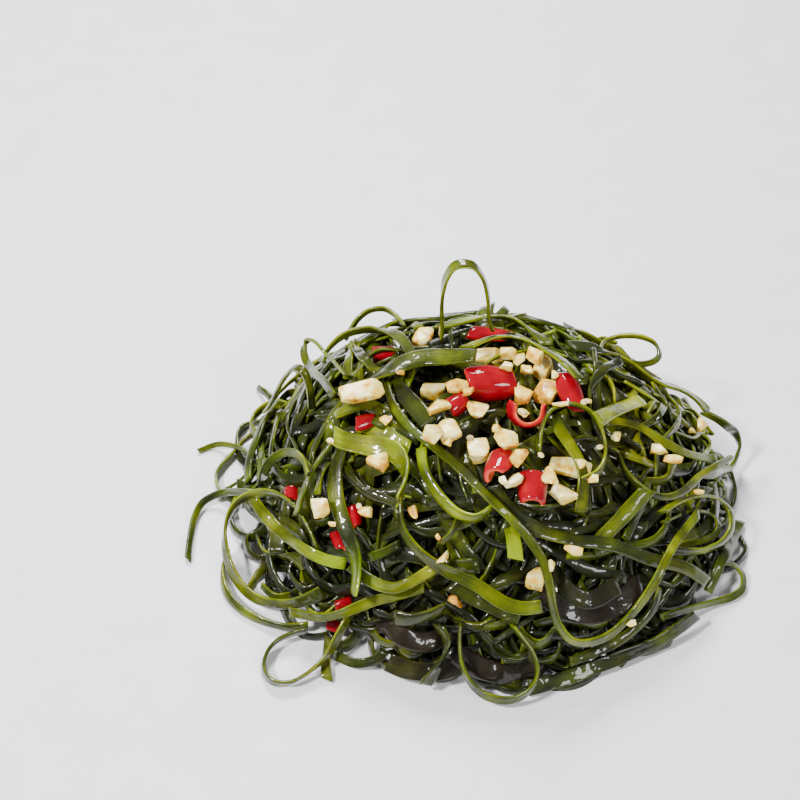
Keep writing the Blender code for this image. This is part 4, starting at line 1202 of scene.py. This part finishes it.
def add_chilli(shape, form, draw, most_skew=SKEW):
    """A piece of pod wall: a sheet rolled round the middle of the wall, ends drawn in."""
    radius, length, opening, heading, rise, facing, rounding = form
    radius, length, sweep = radius * MM, length * MM, math.radians(360 - opening)
    arc = [(0.0, CUT_ROUNDING), *((k / CHILLI_ARC_STEPS, 1.0) for k in
                                  range(1, CHILLI_ARC_STEPS)), (1.0, CUT_ROUNDING)]
    section = arc + [(share, -side) for share, side in reversed(arc)]
    along = [(0.0, 0.0), (0.0, CUT_ROUNDING), *((k / CHILLI_RINGS, 1.0) for k in
             range(1, CHILLI_RINGS)), (1.0, CUT_ROUNDING), (1.0, 0.0)]
    seed = draw.uniform(0, 90)
    skew = draw.uniform(-most_skew, most_skew)
    wall_at = shape.verts.layers.float_vector["wall"]
    made = bmesh.ops.create_grid(shape, x_segments=len(along) - 1,
                                 y_segments=len(section), size=0.5)["verts"]
    for vert in made:
        a, thick = along[round((vert.co.x + 0.5) * (len(along) - 1))]
        share, side = section[round((vert.co.y + 0.5) * len(section)) % len(section)]
        side *= thick
        bite = 1 - rounding * abs(2 * a - 1) ** 3
        angle = math.radians(facing) + (share - 0.5) * sweep * bite
        ridge = 1 + SKIN_RIDGES * noise.noise(Vector((3.2 * angle, 1.5 * a, seed)))
        belly = 1 - CHILLI_BULGE * rounding * (2 * a - 1) ** 2
        reach = radius * (1 - CHILLI_TAPER * a) * belly * ridge
        reach -= CHILLI_WALL * (0.5 - 0.5 * side)
        vert.co = Vector(((a - 0.5 + skew * (share - 0.5)) * length,
                          reach * math.cos(angle), reach * math.sin(angle)))
        vert[wall_at] = (0.5 - 0.5 * side, a, share)
    bmesh.ops.remove_doubles(shape, verts=made, dist=1e-7)
    made = [vert for vert in made if vert.is_valid]
    turn = (Matrix.Rotation(math.radians(heading), 3, "Z")
            @ Matrix.Rotation(math.radians(-rise), 3, "Y"))
    bmesh.ops.rotate(shape, matrix=turn, verts=made)
    return made


def new_chilli():
    """An empty body for pieces of pod, with the values that their finish reads."""
    shape = bmesh.new()
    shape.verts.layers.float_vector.new("wall")
    return shape


def box_middle(verts):
    """The middle of the box round a piece."""
    corners = np.array([vert.co for vert in verts])
    return Vector((corners.max(0) + corners.min(0)) / 2)


red_chilli = chilli_material()
for node, form in CHILLI_PIECES.items():
    pod = new_chilli()
    add_chilli(pod, form, random.Random(node))
    low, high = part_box(node)
    middle = (Vector(low) + Vector(high)) / 2
    bmesh.ops.translate(pod, vec=middle - box_middle(pod.verts), verts=pod.verts)
    bmesh.ops.recalc_face_normals(pod, faces=pod.faces)
    finish_piece("red_" + node, pod, red_chilli, "chilli", node)

cutting = random.Random(4)
bits = new_chilli()
for pixel, form, sink in CHILLI_BITS:
    made = add_chilli(bits, form, cutting, BIT_SKEW)
    bmesh.ops.translate(bits, vec=-box_middle(made), verts=made)
    set_down(made, pixel, beneath_long_shreds, sink * MM)
bmesh.ops.recalc_face_normals(bits, faces=bits.faces)
finish_piece("red_chilli_bits", bits, red_chilli, "chilli")

seeds = bmesh.new()
for pixel in SEEDS:
    made = bmesh.ops.create_icosphere(seeds, subdivisions=2, radius=1.0)["verts"]
    bmesh.ops.scale(seeds, vec=SEED_SIZE, verts=made)
    lean = Matrix.Rotation(cutting.uniform(-SEED_LEAN, SEED_LEAN), 3, "X")
    turn = Matrix.Rotation(cutting.uniform(0, math.pi), 3, "Z")
    bmesh.ops.rotate(seeds, matrix=turn @ lean, verts=made)
    set_down(made, pixel, bed.under)
finish_piece("chilli_seeds", seeds, seed_material(), "garlic")


# The floor and the light
#
# A plain pale table top under soft studio light: a wide window above and behind, a
# smaller bright one at the left that draws thin glints on the wet shreds, and a fill.

def area_light(name, place, size, power):
    """A round lamp that is turned towards the heap."""
    data = bpy.data.lights.new(name, "AREA")
    data.shape = "DISK"
    data.size = size
    data.energy = power
    light = bpy.data.objects.new(name, data)
    light.location = place
    light.rotation_euler = (Vector((0, 0, 0.02)) - light.location).to_track_quat(
        "-Z", "Y").to_euler()
    bpy.context.scene.collection.objects.link(light)


area_light("window", Vector((-0.2, 0.75, 0.95)), 0.36, 22.0)
area_light("bright_window", Vector((-0.6, -0.35, 0.9)), 0.15, 20.0)
area_light("fill", Vector((0.7, -0.7, 0.8)), 0.4, 9.0)
world = bpy.data.worlds.new("studio")
world.use_nodes = True
world.node_tree.nodes["Background"].inputs["Color"].default_value = (1.0, 0.98, 0.95, 1)
world.node_tree.nodes["Background"].inputs["Strength"].default_value = 0.32
bpy.context.scene.world = world

floor_shape = bmesh.new()
bmesh.ops.create_grid(floor_shape, x_segments=1, y_segments=1, size=1.5)
floor_mesh = bpy.data.meshes.new("table_top")
floor_shape.to_mesh(floor_mesh)
floor_shape.free()
floor_material, floor_shader, add, link = new_material("table_top")
specks = speckle(add, add("ShaderNodeTexCoord").outputs["Object"], 60.0)
link(ramp(add, specks, ((0.3, (0.80, 0.81, 0.83)), (0.7, (0.84, 0.85, 0.87)))),
     floor_shader.inputs["Base Color"])
set_finish(floor_shader, Roughness=0.5)
floor_mesh.materials.append(floor_material)
floor = bpy.data.objects.new("table_top", floor_mesh)
bpy.context.scene.collection.objects.link(floor)
floor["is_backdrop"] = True

low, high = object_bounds()
